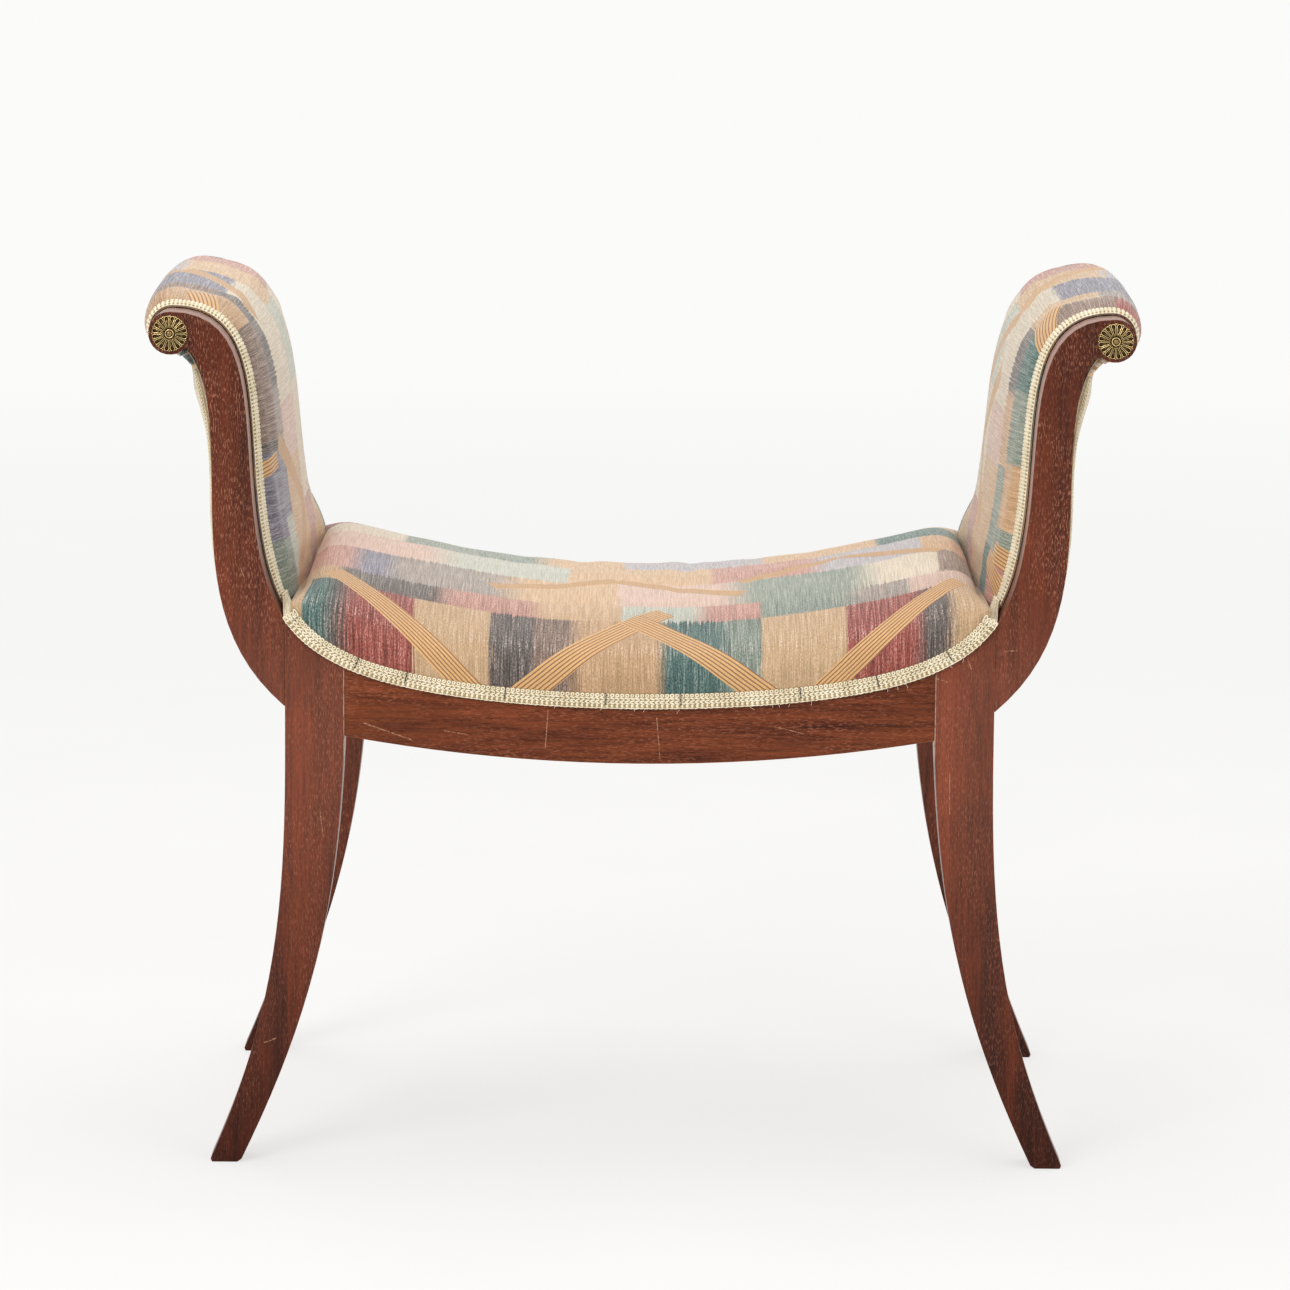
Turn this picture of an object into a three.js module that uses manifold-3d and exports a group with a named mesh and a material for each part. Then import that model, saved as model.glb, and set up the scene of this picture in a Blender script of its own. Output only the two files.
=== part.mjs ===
// Upholstered window seat with sabre legs and out-scrolled arms, in millimetres.
// X runs along the seat, Y towards the back, Z up from the floor. The origin is the middle of the footprint.
// Outlines are drawn for the right half of the front view and mirrored.
import * as THREE from 'three';
import { mergeVertices } from 'three/addons/utils/BufferGeometryUtils.js';
import Module from 'manifold-3d';

const wasm = await Module();
wasm.setup();

// Driving sizes of the frame: heights are stacked from the floor to the knee, the seat line and the arm
const frameDepth = 400;
const boardThickness = 30;
const railHalfSpan = 241.6;
const legBoardWidth = 48.6;
const kneeHeight = 361;
const notchRise = 24.5;
const footSplay = 87.2;
const footWidth = 25.7;
const footChamfer = 2.5;
const railSag = 21.2;

// Driving sizes of the seat line, the curve that the trimming follows
const railDepth = 25;
const seatLineHeight = kneeHeight + railDepth;
const seatLineRise = 32.3;
const armFootReach = 68.4;
const armFootRise = 123;

// Driving sizes of the scrolled arm, its heights over the seat line
const waistReach = 107.4;
const waistRise = 172;
const scrollReach = 140.7;
const scrollRise = 305.5;
const scrollRadius = 17.5;
const scrollCornerAngle = THREE.MathUtils.degToRad(-137);

// Clearance between pieces that touch, and the overrun of every cut
const fit = 0.3;
const overrun = 1;

// Seat rails, their tenons and the blocks in the corners
const railSetback = 1;
const sideRailThickness = 27;
const sideRailInset = 1;
const tenonThickness = 10;
const tenonHeight = 38;
const railTenonLength = 25;
const sideTenonLength = 18;
const tenonShoulder = 11;
const tackingBand = 10;
const tackingFade = 28;
const blockLeg = 56;
const blockThickness = 30;
const blockNose = 9;
const blockDrop = 12;

// Dowels in the glued joint between leg and arm stile
const dowelRadius = 4;
const dowelLength = 36;
const dowelRise = 44.5;

// Rails of the arm
const scrollRailTenonRadius = 8;
const scrollRailTenonLength = 14;
const tackRailWidth = 34;
const tackRailHeight = 26;
const tackRailShare = 0.62;
const tackTenonThickness = 14;
const tackTenonWidth = 20;
const tackTenonLength = 15;

// Webbing and the cloth over it
const strapWidth = 50;
const strapThickness = 1.6;
const crossStrapCount = 5;
const longStrapCount = 3;
const crossStrapMargin = 45.6;
const longStrapMargin = 66;
const strapEndInset = 4;
const longStrapReach = 40;
const clothThickness = 1;
const coverThickness = 1.2;

// Seat cushion
const crestRise = 75;
const shoulderReach = 3.4;
const shoulderRise = 32;
const cushionEndReach = 36.9;
const cushionEndRise = 5;
const cushionCornerReach = 7;
const coverTuck = 1.5;
const stuffingEdge = 3;
const stuffingDepthShare = 0.985;

// Arm pads
const padLoft = 29;
const padStartReach = 2;
const padWrapAngle = THREE.MathUtils.degToRad(-112);

// Outside covers of the arms
const outsideStandoff = 2.5;
const outsideBulge = 3.5;
const outsideStart = 8;
const outsideEndGap = 1.2;

// Trimming
const gimpWidth = 13;
const gimpThickness = 2;
const gimpHeadroom = 1.5;

// Rosettes and their pins
const rosetteRadius = 14.6;
const rosettePetals = 16;
const petalDepth = 0.55;
const pinHeadRadius = 2.3;
const pinRadius = 1.1;
const pinLength = 9;

const side = { left: -1, right: 1 };
const end = { front: -1, rear: 1 };
const halfDepth = frameDepth / 2;
const innerHalfDepth = halfDepth - boardThickness;
const legOuterX = railHalfSpan + legBoardWidth;

// One group, one colour and finish for each material
const finish = (color, roughness, metalness) => new THREE.MeshStandardMaterial({ color, roughness, metalness });
const mahogany = () => finish(0x6e3422, 0.38, 0);
const beech = () => finish(0xb58a5a, 0.7, 0);
const brass = () => finish(0x8f7340, 0.4, 0.9);
const jute = () => finish(0xa98c5f, 0.9, 0);
const hair = () => finish(0x4a3a2c, 1, 0);
const fabric = () => finish(0xc2a684, 0.85, 0);
const braid = () => finish(0xd9d1b4, 0.8, 0);

const part = new THREE.Group();

function add(name, geometry, material) {
  const mesh = new THREE.Mesh(geometry, material);
  mesh.name = name;
  part.add(mesh);
}

// Closed geometry and boolean work

function signedVolume(geometry) {
  const position = geometry.getAttribute('position');
  const index = geometry.index.array;
  const corner = [new THREE.Vector3(), new THREE.Vector3(), new THREE.Vector3()];
  let sum = 0;
  for (let i = 0; i < index.length; i += 3) {
    corner.forEach((point, k) => point.fromBufferAttribute(position, index[i + k]));
    sum += corner[0].dot(corner[1].cross(corner[2]));
  }
  return sum / 6;
}

function facingOut(geometry) {
  let merged = geometry.clone();
  merged.deleteAttribute('normal');
  merged.deleteAttribute('uv');
  merged = mergeVertices(merged);
  if (signedVolume(merged) < 0) {
    const index = merged.index.array;
    for (let i = 0; i < index.length; i += 3) {
      [index[i], index[i + 1]] = [index[i + 1], index[i]];
    }
  }
  merged.computeVertexNormals();
  return merged;
}

function toSolid(geometry) {
  const closed = facingOut(geometry);
  const vertProperties = new Float32Array(closed.getAttribute('position').array);
  const triVerts = new Uint32Array(closed.index.array);
  return new wasm.Manifold(new wasm.Mesh({ numProp: 3, vertProperties, triVerts }));
}

function toGeometry(solid) {
  const mesh = solid.getMesh();
  const geometry = new THREE.BufferGeometry();
  geometry.setAttribute('position', new THREE.BufferAttribute(new Float32Array(mesh.vertProperties), 3));
  geometry.setIndex(new THREE.BufferAttribute(new Uint32Array(mesh.triVerts), 1));
  geometry.computeVertexNormals();
  return geometry;
}

const joined = (first, ...rest) => toGeometry(rest.reduce((sum, piece) => sum.add(toSolid(piece)), toSolid(first)));
const cut = (first, ...rest) => toGeometry(rest.reduce((sum, piece) => sum.subtract(toSolid(piece)), toSolid(first)));

function block(low, high) {
  const size = high.map((value, axis) => value - low[axis]);
  const middle = high.map((value, axis) => (value + low[axis]) / 2);
  return new THREE.BoxGeometry(...size).translate(...middle);
}

// A round bar between two points of X or Y
function barAlongY(radius, x, z, from, to, sides) {
  const bar = new THREE.CylinderGeometry(radius, radius, to - from, sides);
  return bar.translate(x, (from + to) / 2, z);
}

function barAlongX(radius, y, z, from, to, sides) {
  const bar = new THREE.CylinderGeometry(radius, radius, to - from, sides).rotateZ(Math.PI / 2);
  return bar.translate((from + to) / 2, y, z);
}

// A board sawn to an outline in the front view, from y = from to y = to
function board(outline, from, to) {
  const shape = new THREE.Shape(outline);
  const sawn = new THREE.ExtrudeGeometry(shape, { depth: to - from, bevelEnabled: false });
  return sawn.rotateX(Math.PI / 2).translate(0, to, 0);
}

function mirrored(geometry, x, y) {
  return facingOut(geometry.clone().scale(x, y, 1));
}

// Skins and pads are two grids of points, one over the other, closed round their edges
function closedGrids(outer, inner) {
  const rows = outer.length;
  const columns = outer[0].length;
  const positions = [...outer.flat(), ...inner.flat()].flatMap((point) => [point.x, point.y, point.z]);
  const index = [];
  const quad = (a, b, c, d) => index.push(a, b, c, a, c, d);
  const layer = rows * columns;
  for (let i = 0; i < rows - 1; i += 1) {
    for (let j = 0; j < columns - 1; j += 1) {
      const a = i * columns + j;
      quad(a, a + 1, a + columns + 1, a + columns);
      quad(layer + a, layer + a + columns, layer + a + columns + 1, layer + a + 1);
    }
  }
  for (let j = 0; j < columns - 1; j += 1) {
    const last = (rows - 1) * columns + j;
    quad(j, layer + j, layer + j + 1, j + 1);
    quad(last, last + 1, layer + last + 1, layer + last);
  }
  for (let i = 0; i < rows - 1; i += 1) {
    const a = i * columns;
    const b = a + columns - 1;
    quad(a, a + columns, layer + a + columns, layer + a);
    quad(b, layer + b, layer + b + columns, b + columns);
  }
  const geometry = new THREE.BufferGeometry();
  geometry.setAttribute('position', new THREE.Float32BufferAttribute(positions, 3));
  geometry.setIndex(index);
  return facingOut(geometry);
}

// Value at a share along a table of [share, value] pairs
function shareValue(table, share) {
  const next = table.findIndex((pair) => pair[0] >= share);
  if (next <= 0) {
    return table[0][1];
  }
  const [from, low] = table[next - 1];
  const [to, high] = table[next];
  return THREE.MathUtils.mapLinear(share, from, to, low, high);
}

// Outline curves of the front view

const spot = (x, z) => new THREE.Vector2(x, z);

// A curve from one point to another, its two handles given as shares of the way between them
function bend(from, to, firstShares, secondShares) {
  const handle = ([x, z]) => spot(from.x + x * (to.x - from.x), from.y + z * (to.y - from.y));
  return new THREE.CubicBezierCurve(from, handle(firstShares), handle(secondShares), to);
}

const scrollCentre = spot(railHalfSpan + scrollReach, seatLineHeight + scrollRise);
const onScroll = (angle, radius) => spot(
  scrollCentre.x + radius * Math.cos(angle),
  scrollCentre.y + radius * Math.sin(angle),
);

const seatCentre = spot(0, seatLineHeight);
const railEnd = spot(railHalfSpan, seatLineHeight + seatLineRise);
const armFoot = spot(railHalfSpan + armFootReach, seatLineHeight + armFootRise);
const waist = spot(railHalfSpan + waistReach, seatLineHeight + waistRise);
const notch = spot(legOuterX, kneeHeight + notchRise);

const seatCurve = bend(seatCentre, railEnd, [0.17, 0], [0.73, 0.06]);
const cornerCurve = bend(railEnd, armFoot, [0.6, 0.21], [0.86, 0.48]);
const armCurve = bend(armFoot, onScroll(Math.PI / 2, scrollRadius), [0.26, 0.47], [-0.11, 1]);
const legInnerCurve = bend(
  spot(railHalfSpan, kneeHeight),
  spot(railHalfSpan + footSplay, 0),
  [0.06, 0.37],
  [0.26, 0.63],
);
const legOuterCurve = bend(
  notch,
  spot(railHalfSpan + footSplay + footWidth, 0),
  [0, 0.35],
  [0, 0.63],
);
const stileLowerCurve = bend(notch, waist, [0.94, 0.27], [1, 0.64]);
const stileUpperCurve = bend(waist, onScroll(scrollCornerAngle, scrollRadius), [0, 0.345], [0.024, 0.905]);

// The share of a curve at which it reaches a given x, found by halving, on a stretch where x only grows
const halvings = 50;

function shareAtX(curve, x) {
  let low = 0;
  let high = 1;
  for (let i = 0; i < halvings; i += 1) {
    const middle = (low + high) / 2;
    if (curve.getPoint(middle).x < x) {
      low = middle;
    } else {
      high = middle;
    }
  }
  return low;
}

function seatLineZ(x) {
  const reach = Math.abs(x);
  const curve = reach < railHalfSpan ? seatCurve : cornerCurve;
  return curve.getPoint(shareAtX(curve, reach)).y;
}

const evenly = (from, to, steps) => Array.from({ length: steps + 1 }, (_, i) => from + ((to - from) * i) / steps);

// Places of the webbing straps across the seat frame
const strapPlaces = (count, reach) => evenly(-reach, reach, count - 1);
const crossPlaces = strapPlaces(crossStrapCount, railHalfSpan - crossStrapMargin);
const longPlaces = strapPlaces(longStrapCount, innerHalfDepth - longStrapMargin);

// The wood stands a little above the seat line, as backing for the trimming, and meets it at the arm.
// Its top is one chain of flats, which the rails, the straps and the cloth on them all share.
const deckKnots = [
  ...crossPlaces.flatMap((x) => [x - strapWidth / 2, x, x + strapWidth / 2]),
  ...evenly(railHalfSpan, legOuterX, 6).flatMap((x) => [-x, x]),
].sort((a, b) => a - b);

function woodTop(x) {
  const left = THREE.MathUtils.clamp((legOuterX - Math.abs(x)) / tackingFade, 0, 1);
  return seatLineZ(x) + tackingBand * left;
}

const deckProfile = deckKnots.map((x) => [x, woodTop(x)]);
const deckZ = (x) => shareValue(deckProfile, x);
const deckPoints = (from, to) => [from, ...deckKnots.filter((x) => x > from && x < to), to]
  .map((x) => spot(x, deckZ(x)));

// Legs and arm stiles

function sabreLegOutline() {
  const steps = 20;
  const inner = legInnerCurve.getPoints(steps);
  const outer = legOuterCurve.getPoints(steps).reverse();
  const innerFoot = inner.pop();
  const outerFoot = outer.shift();
  return [
    ...inner,
    spot(innerFoot.x - footChamfer / 2, footChamfer),
    spot(innerFoot.x + footChamfer, 0),
    spot(outerFoot.x - footChamfer, 0),
    spot(outerFoot.x - footChamfer / 2, footChamfer),
    ...outer,
    ...deckPoints(railHalfSpan, legOuterX).reverse(),
  ];
}

function scrollStileOutline() {
  const jointX = legOuterX + fit;
  const start = shareAtX(cornerCurve, jointX);
  const inner = evenly(start, 1, 7).map((share) => cornerCurve.getPoint(share));
  const arm = armCurve.getPoints(18).slice(1);
  const scroll = evenly(Math.PI / 2, scrollCornerAngle, 16).slice(1, -1);
  const outer = [...stileLowerCurve.getPoints(14), ...stileUpperCurve.getPoints(12).slice(1)].reverse();
  const last = outer.pop();
  return [
    ...inner,
    ...arm,
    ...scroll.map((angle) => onScroll(angle, scrollRadius)),
    ...outer,
    spot(jointX, last.y),
  ];
}

const railTenonZ = [kneeHeight + tenonShoulder, kneeHeight + tenonShoulder + tenonHeight];
const railTenonY = [
  -halfDepth + (boardThickness - tenonThickness) / 2,
  -halfDepth + (boardThickness + tenonThickness) / 2,
];
const sideRailX = [legOuterX - sideRailInset - sideRailThickness, legOuterX - sideRailInset];
const sideTenonX = [
  (sideRailX[0] + sideRailX[1] - tenonThickness) / 2,
  (sideRailX[0] + sideRailX[1] + tenonThickness) / 2,
];
const boardMiddleY = -halfDepth + boardThickness / 2;

const railMortise = block(
  [railHalfSpan - overrun, railTenonY[0] - fit, railTenonZ[0] - fit],
  [railHalfSpan + railTenonLength + fit, railTenonY[1] + fit, railTenonZ[1] + fit],
);
const sideMortise = block(
  [sideTenonX[0] - fit, -innerHalfDepth - sideTenonLength - fit, railTenonZ[0] - fit],
  [sideTenonX[1] + fit, -innerHalfDepth + overrun, railTenonZ[1] + fit],
);
const dowelHole = barAlongX(
  dowelRadius + fit,
  boardMiddleY,
  notch.y + dowelRise,
  legOuterX - dowelLength / 2 - fit,
  legOuterX + dowelLength / 2 + fit,
  12,
);
const pinHole = barAlongY(
  pinRadius + fit,
  scrollCentre.x,
  scrollCentre.y,
  -halfDepth - overrun,
  -halfDepth + pinLength + fit,
  8,
);
const scrollMortise = barAlongY(
  scrollRailTenonRadius + fit,
  scrollCentre.x,
  scrollCentre.y,
  -innerHalfDepth - scrollRailTenonLength - fit,
  -innerHalfDepth + overrun,
  16,
);

// The tacking rail of the arm lies square to the inner edge of the stile
const tackTangent = cornerCurve.getTangent(tackRailShare);
const tackAngle = Math.atan2(tackTangent.y, tackTangent.x);
const tackEdge = cornerCurve.getPoint(tackRailShare);
const tackInset = clothThickness + 2 * fit + tackRailWidth / 2;
const tackCentre = spot(
  tackEdge.x + tackInset * Math.sin(tackAngle),
  tackEdge.y - tackInset * Math.cos(tackAngle),
);

function tackBar(along, across, length, clearance) {
  const bar = new THREE.BoxGeometry(along + 2 * clearance, length, across + 2 * clearance);
  return bar.rotateY(-tackAngle).translate(tackCentre.x, 0, tackCentre.y);
}

const tackMortise = tackBar(
  tackTenonThickness,
  tackTenonWidth,
  2 * (innerHalfDepth + tackTenonLength + fit),
  fit,
);

const sabreLeg = cut(board(sabreLegOutline(), -halfDepth, -innerHalfDepth), railMortise, sideMortise, dowelHole);
const scrollStile = cut(
  board(scrollStileOutline(), -halfDepth, -innerHalfDepth),
  dowelHole,
  pinHole,
  scrollMortise,
  tackMortise,
);
const jointDowel = barAlongX(
  dowelRadius,
  boardMiddleY,
  notch.y + dowelRise,
  legOuterX - dowelLength / 2,
  legOuterX + dowelLength / 2,
  12,
);

// Rails of the seat

function longRail() {
  const reach = railHalfSpan - fit;
  const radius = (railHalfSpan ** 2 + railSag ** 2) / (2 * railSag);
  const sag = (x) => kneeHeight - railSag + radius - Math.sqrt(radius ** 2 - x ** 2);
  const lower = evenly(-reach, reach, 20).map((x) => spot(x, sag(x)));
  const plank = board([...lower, ...deckPoints(-reach, reach).reverse()], -halfDepth + railSetback, -innerHalfDepth);
  const tenon = block(
    [reach - overrun, railTenonY[0], railTenonZ[0]],
    [railHalfSpan + railTenonLength, railTenonY[1], railTenonZ[1]],
  );
  return joined(plank, tenon, mirrored(tenon, -1, 1));
}

function sideRail() {
  const outline = [
    spot(sideRailX[0], kneeHeight),
    spot(sideRailX[1], kneeHeight),
    ...deckPoints(...sideRailX).reverse(),
  ];
  const reach = innerHalfDepth - fit;
  const tenonReach = innerHalfDepth + sideTenonLength;
  const tenons = block(
    [sideTenonX[0], -tenonReach, railTenonZ[0]],
    [sideTenonX[1], tenonReach, railTenonZ[1]],
  );
  return joined(board(outline, -reach, reach), tenons);
}

// A glue block with a flat nose, in the corner between long rail and side rail
function cornerBlock() {
  const x = sideRailX[0] - fit;
  const y = -innerHalfDepth + fit;
  const plan = new THREE.Shape([
    spot(x, y),
    spot(x, y + blockLeg),
    spot(x - blockNose, y + blockLeg),
    spot(x - blockLeg, y + blockNose),
    spot(x - blockLeg, y),
  ]);
  const sawn = new THREE.ExtrudeGeometry(plan, { depth: blockThickness, bevelEnabled: false });
  return facingOut(sawn.translate(0, 0, kneeHeight + blockDrop));
}

// Rails of the arm

function scrollRail() {
  const reach = innerHalfDepth - fit;
  const tenonReach = innerHalfDepth + scrollRailTenonLength;
  const radius = scrollRadius - clothThickness - 2 * fit;
  return joined(
    barAlongY(radius, scrollCentre.x, scrollCentre.y, -reach, reach, 24),
    barAlongY(scrollRailTenonRadius, scrollCentre.x, scrollCentre.y, -tenonReach, tenonReach, 16),
  );
}

function tackRail() {
  return joined(
    tackBar(tackRailHeight, tackRailWidth, 2 * (innerHalfDepth - fit), 0),
    tackBar(tackTenonThickness, tackTenonWidth, 2 * (innerHalfDepth + tackTenonLength), 0),
  );
}

// Webbing: cross straps run from front to back and long straps from arm to arm, woven over and under.
// Both sample the deck at the edges and middles of the crossings, so that their facets lie parallel.
const layerStep = (strapThickness + fit) / 2;
const webHeight = (x) => deckZ(x) + fit + strapThickness / 2 + layerStep;
const weave = (i, j) => ((i + j) % 2 === 0 ? 1 : -1);

// Places and levels along one strap that crosses others: low on the rails that its ends are tacked to
function strapRun(places, levelAt, tacked) {
  return [
    ...tacked.map((place) => [-place, -1]).reverse(),
    ...places.flatMap((place, i) => [-1, 0, 1].map((edge) => [place + (edge * strapWidth) / 2, levelAt(i)])),
    ...tacked.map((place) => [place, -1]),
  ];
}

function crossStrap(i) {
  const run = strapRun(longPlaces, (j) => weave(i, j), [innerHalfDepth, halfDepth - strapEndInset]);
  const widths = [-strapWidth / 2, 0, strapWidth / 2].map((offset) => crossPlaces[i] + offset);
  const grid = (lift) => run.map(([y, level]) => widths.map(
    (x) => new THREE.Vector3(x, y, webHeight(x) + level * layerStep + lift),
  ));
  return closedGrids(grid(strapThickness / 2), grid(-strapThickness / 2));
}

function longStrap(j) {
  const tacked = deckPoints(railHalfSpan, railHalfSpan + longStrapReach).map((point) => point.x);
  const run = strapRun(crossPlaces, (i) => -weave(i, j), tacked);
  const widths = [-strapWidth / 2, strapWidth / 2].map((offset) => longPlaces[j] + offset);
  const grid = (lift) => run.map(([x, level]) => widths.map(
    (y) => new THREE.Vector3(x, y, webHeight(x) + level * layerStep + lift),
  ));
  return closedGrids(grid(strapThickness / 2), grid(-strapThickness / 2));
}

// The hessian lies on the webbing from rail to rail
const hessianFloor = (x) => webHeight(x) + layerStep + strapThickness / 2 + fit;

function seatHessian() {
  const reach = railHalfSpan + longStrapReach - strapEndInset;
  const stations = deckPoints(-reach, reach).map((point) => point.x);
  const depths = [-halfDepth + strapEndInset, halfDepth - strapEndInset];
  const grid = (lift) => stations.map((x) => depths.map((y) => new THREE.Vector3(x, y, hessianFloor(x) + lift)));
  return closedGrids(grid(clothThickness), grid(0));
}

// Seat cushion: a row of cross sections along the crest
const crestMiddle = spot(0, seatLineHeight + crestRise);
const crestShoulder = spot(railHalfSpan + shoulderReach, crestMiddle.y + shoulderRise);
const cushionEnd = spot(railHalfSpan + cushionEndReach, crestMiddle.y + cushionEndRise);
const crestCurve = bend(crestMiddle, crestShoulder, [0.45, 0], [0.78, 0.66]);
const crestEndCurve = bend(crestShoulder, cushionEnd, [0.7, -0.13], [1, 0.2]);

// Cross section of the seat above the trimming: shares of the half depth, and of the height up to the crest
const tackedFaceShare = 1.0075;
const sectionShares = [
  [1.02, 0.2],
  [1.014, 0.365],
  [0.975, 0.52],
  [0.92, 0.62],
  [0.84, 0.72],
  [0.68, 0.82],
  [0.42, 0.93],
  [0, 1],
];

const halfCrest = [...crestCurve.getPoints(9), ...crestEndCurve.getPoints(5).slice(1)];
const crestStations = [
  ...halfCrest.slice(1).reverse().map((point) => spot(-point.x, point.y)),
  ...halfCrest,
];

// Height of the upper edge of the trimming over its lower edge, measured straight up
function gimpRise(x) {
  const reach = Math.abs(x);
  const curve = reach < railHalfSpan ? seatCurve : cornerCurve;
  return gimpWidth / curve.getTangent(shareAtX(curve, reach)).x;
}

// The corners of the cover reach past the arm pads, as far as the stiles let them
const cornerDepthShare = 0.9;

function seatSection(x, crest, cornerReach) {
  const beyondRail = Math.max(0, Math.abs(x) - railHalfSpan) / cushionEndReach;
  const shift = (depth) => (depth > cornerDepthShare ? Math.sign(x) * cornerReach * beyondRail : 0);
  const faceX = x + shift(tackedFaceShare);
  const base = seatLineZ(faceX);
  const shoulder = base + gimpRise(faceX) + gimpHeadroom;
  const half = [
    [tackedFaceShare, base + coverTuck],
    [tackedFaceShare, shoulder],
    ...sectionShares.map(([depth, height]) => [depth, shoulder + height * Math.max(crest - shoulder, gimpHeadroom)]),
  ];
  const vertex = (sign) => ([depth, z]) => new THREE.Vector3(x + shift(depth), sign * depth * halfDepth, z);
  return [...half.map(vertex(-1)), ...half.slice(0, -1).reverse().map(vertex(1))];
}

const seatSurface = (cornerReach) => crestStations.map(({ x, y: crest }) => seatSection(x, crest, cornerReach));

// The same grid moved inwards along its own normals
function inset(grid, distance) {
  const rows = grid.length - 1;
  const columns = grid[0].length - 1;
  return grid.map((row, i) => row.map((point, j) => {
    const along = grid[Math.min(i + 1, rows)][j].clone().sub(grid[Math.max(i - 1, 0)][j]);
    const across = row[Math.min(j + 1, columns)].clone().sub(row[Math.max(j - 1, 0)]);
    const normal = along.cross(across).normalize();
    return point.clone().addScaledVector(normal, -distance);
  }));
}

function seatCover() {
  const outer = seatSurface(cushionCornerReach);
  return closedGrids(outer, inset(outer, coverThickness));
}

// Every second point of a row, for the coarser stuffing under a cover
const everySecond = (row, first) => row.filter((_, i) => i % 2 === first);

// The stuffing fills the cover down to the hessian, short of the cover's two ends and its tacked band
function seatStuffing() {
  const upper = inset(seatSurface(0), coverThickness + fit).slice(1, -1);
  const floor = (point) => hessianFloor(Math.abs(point.x)) + clothThickness + fit;
  const body = upper.map((row) => everySecond(row, 0).slice(1, -1).map((point) => new THREE.Vector3(
    point.x,
    point.y * stuffingDepthShare,
    Math.max(point.z, floor(point) + stuffingEdge),
  )));
  const base = body.map((row) => row.map((point) => new THREE.Vector3(point.x, point.y, floor(point))));
  return closedGrids(body, base);
}

// Arm pads: stations along the inner edge, over the scroll and round to its underside
const padLoftShares = [
  [0, 0.45],
  [0.1, 1.03],
  [0.25, 1],
  [0.46, 0.93],
  [0.56, 0.85],
  [0.62, 0.76],
  [0.68, 0.64],
  [0.75, 0.5],
  [0.82, 0.52],
  [0.9, 0.41],
  [1, 0.28],
];
const padCrossShares = [[1, 0.05], [0.93, 0.22], [0.86, 0.48], [0.75, 0.7], [0.45, 0.92], [0, 1]];

function stationsOn(curve, from, to, steps) {
  return evenly(from, to, steps).map((share) => {
    const tangent = curve.getTangent(share);
    return { point: curve.getPoint(share), normal: spot(-tangent.y, tangent.x) };
  });
}

function armStations() {
  const start = shareAtX(cornerCurve, legOuterX + padStartReach);
  const wrap = evenly(Math.PI / 2, padWrapAngle, 9).map((angle) => ({
    point: onScroll(angle, scrollRadius),
    normal: spot(Math.cos(angle), Math.sin(angle)),
  }));
  const list = [
    ...stationsOn(cornerCurve, start, 1, 3),
    ...stationsOn(armCurve, 0, 1, 11).slice(1),
    ...wrap.slice(1),
  ];
  let length = 0;
  list.forEach((station, i) => {
    length += i === 0 ? 0 : station.point.distanceTo(list[i - 1].point);
    station.length = length;
  });
  return list.map((station) => ({ ...station, share: station.length / length }));
}

const armLine = armStations();
const padEdge = innerHalfDepth - fit;
const padDepths = [
  ...padCrossShares.map(([share]) => -share * padEdge),
  ...padCrossShares.slice(0, -1).map(([share]) => share * padEdge).reverse(),
];
const padFloor = coverThickness + 2 * fit;

function padHeight(station, y) {
  const cross = shareValue([...padCrossShares].reverse(), Math.abs(y) / padEdge);
  return padFloor + padLoft * shareValue(padLoftShares, station.share) * cross;
}

// Points over the arm line, at a height above the wood for each station and depth
function overArm(depths, heightAt) {
  return armLine.map((station) => depths.map((y) => {
    const height = heightAt(station, y);
    return new THREE.Vector3(
      station.point.x + station.normal.x * height,
      y,
      station.point.y + station.normal.y * height,
    );
  }));
}

function armCover() {
  return closedGrids(overArm(padDepths, padHeight), overArm(padDepths, (s, y) => padHeight(s, y) - coverThickness));
}

function armStuffing() {
  const depths = everySecond(padDepths, 1);
  return closedGrids(
    overArm(depths, (station, y) => padHeight(station, y) - coverThickness - fit),
    overArm(depths, () => 0),
  );
}

function armHessian() {
  const depths = [-padEdge, padEdge];
  return closedGrids(overArm(depths, () => -fit), overArm(depths, () => -fit - clothThickness));
}

// The trimming on the border of an arm pad
function armGimp() {
  const depths = [-padEdge, -padEdge + gimpWidth];
  const edgeHeight = (station, y) => padHeight(station, y) + fit;
  return closedGrids(
    overArm(depths, (station, y) => edgeHeight(station, y) + gimpThickness),
    overArm(depths, edgeHeight),
  );
}

// The trimming of the seat runs along the seat line, on the face of the frame
function seatGimp() {
  const stations = [
    ...stationsOn(seatCurve, 0, 1, 12),
    ...stationsOn(cornerCurve, 0, shareAtX(cornerCurve, legOuterX), 5).slice(1),
  ];
  const lower = stations.map(({ point }) => point);
  const upper = stations.map(({ point, normal }) => spot(
    point.x + gimpWidth * normal.x,
    point.y + gimpWidth * normal.y,
  ));
  const flip = (points) => points.slice(1).reverse().map((point) => spot(-point.x, point.y));
  const outline = [...flip(lower), ...lower, ...upper.reverse(), ...flip(upper.reverse()).reverse()];
  const face = -halfDepth - 2 * fit - coverThickness;
  return facingOut(board(outline, face - gimpThickness, face));
}

// The outside cover runs from the side rail at the notch, up the outer edge of the stiles, to the scroll
const coverFoot = spot(legOuterX + outsideStandoff, notch.y + outsideStart);
const coverWaist = spot(waist.x + outsideBulge, waist.y);
const coverTop = onScroll(padWrapAngle - outsideEndGap / scrollRadius, scrollRadius + outsideBulge);
const outsideLower = bend(coverFoot, coverWaist, [0.9, 0.26], [1, 0.64]);
const outsideUpper = bend(coverWaist, coverTop, [0, 0.2], [0.02, 0.81]);

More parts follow.
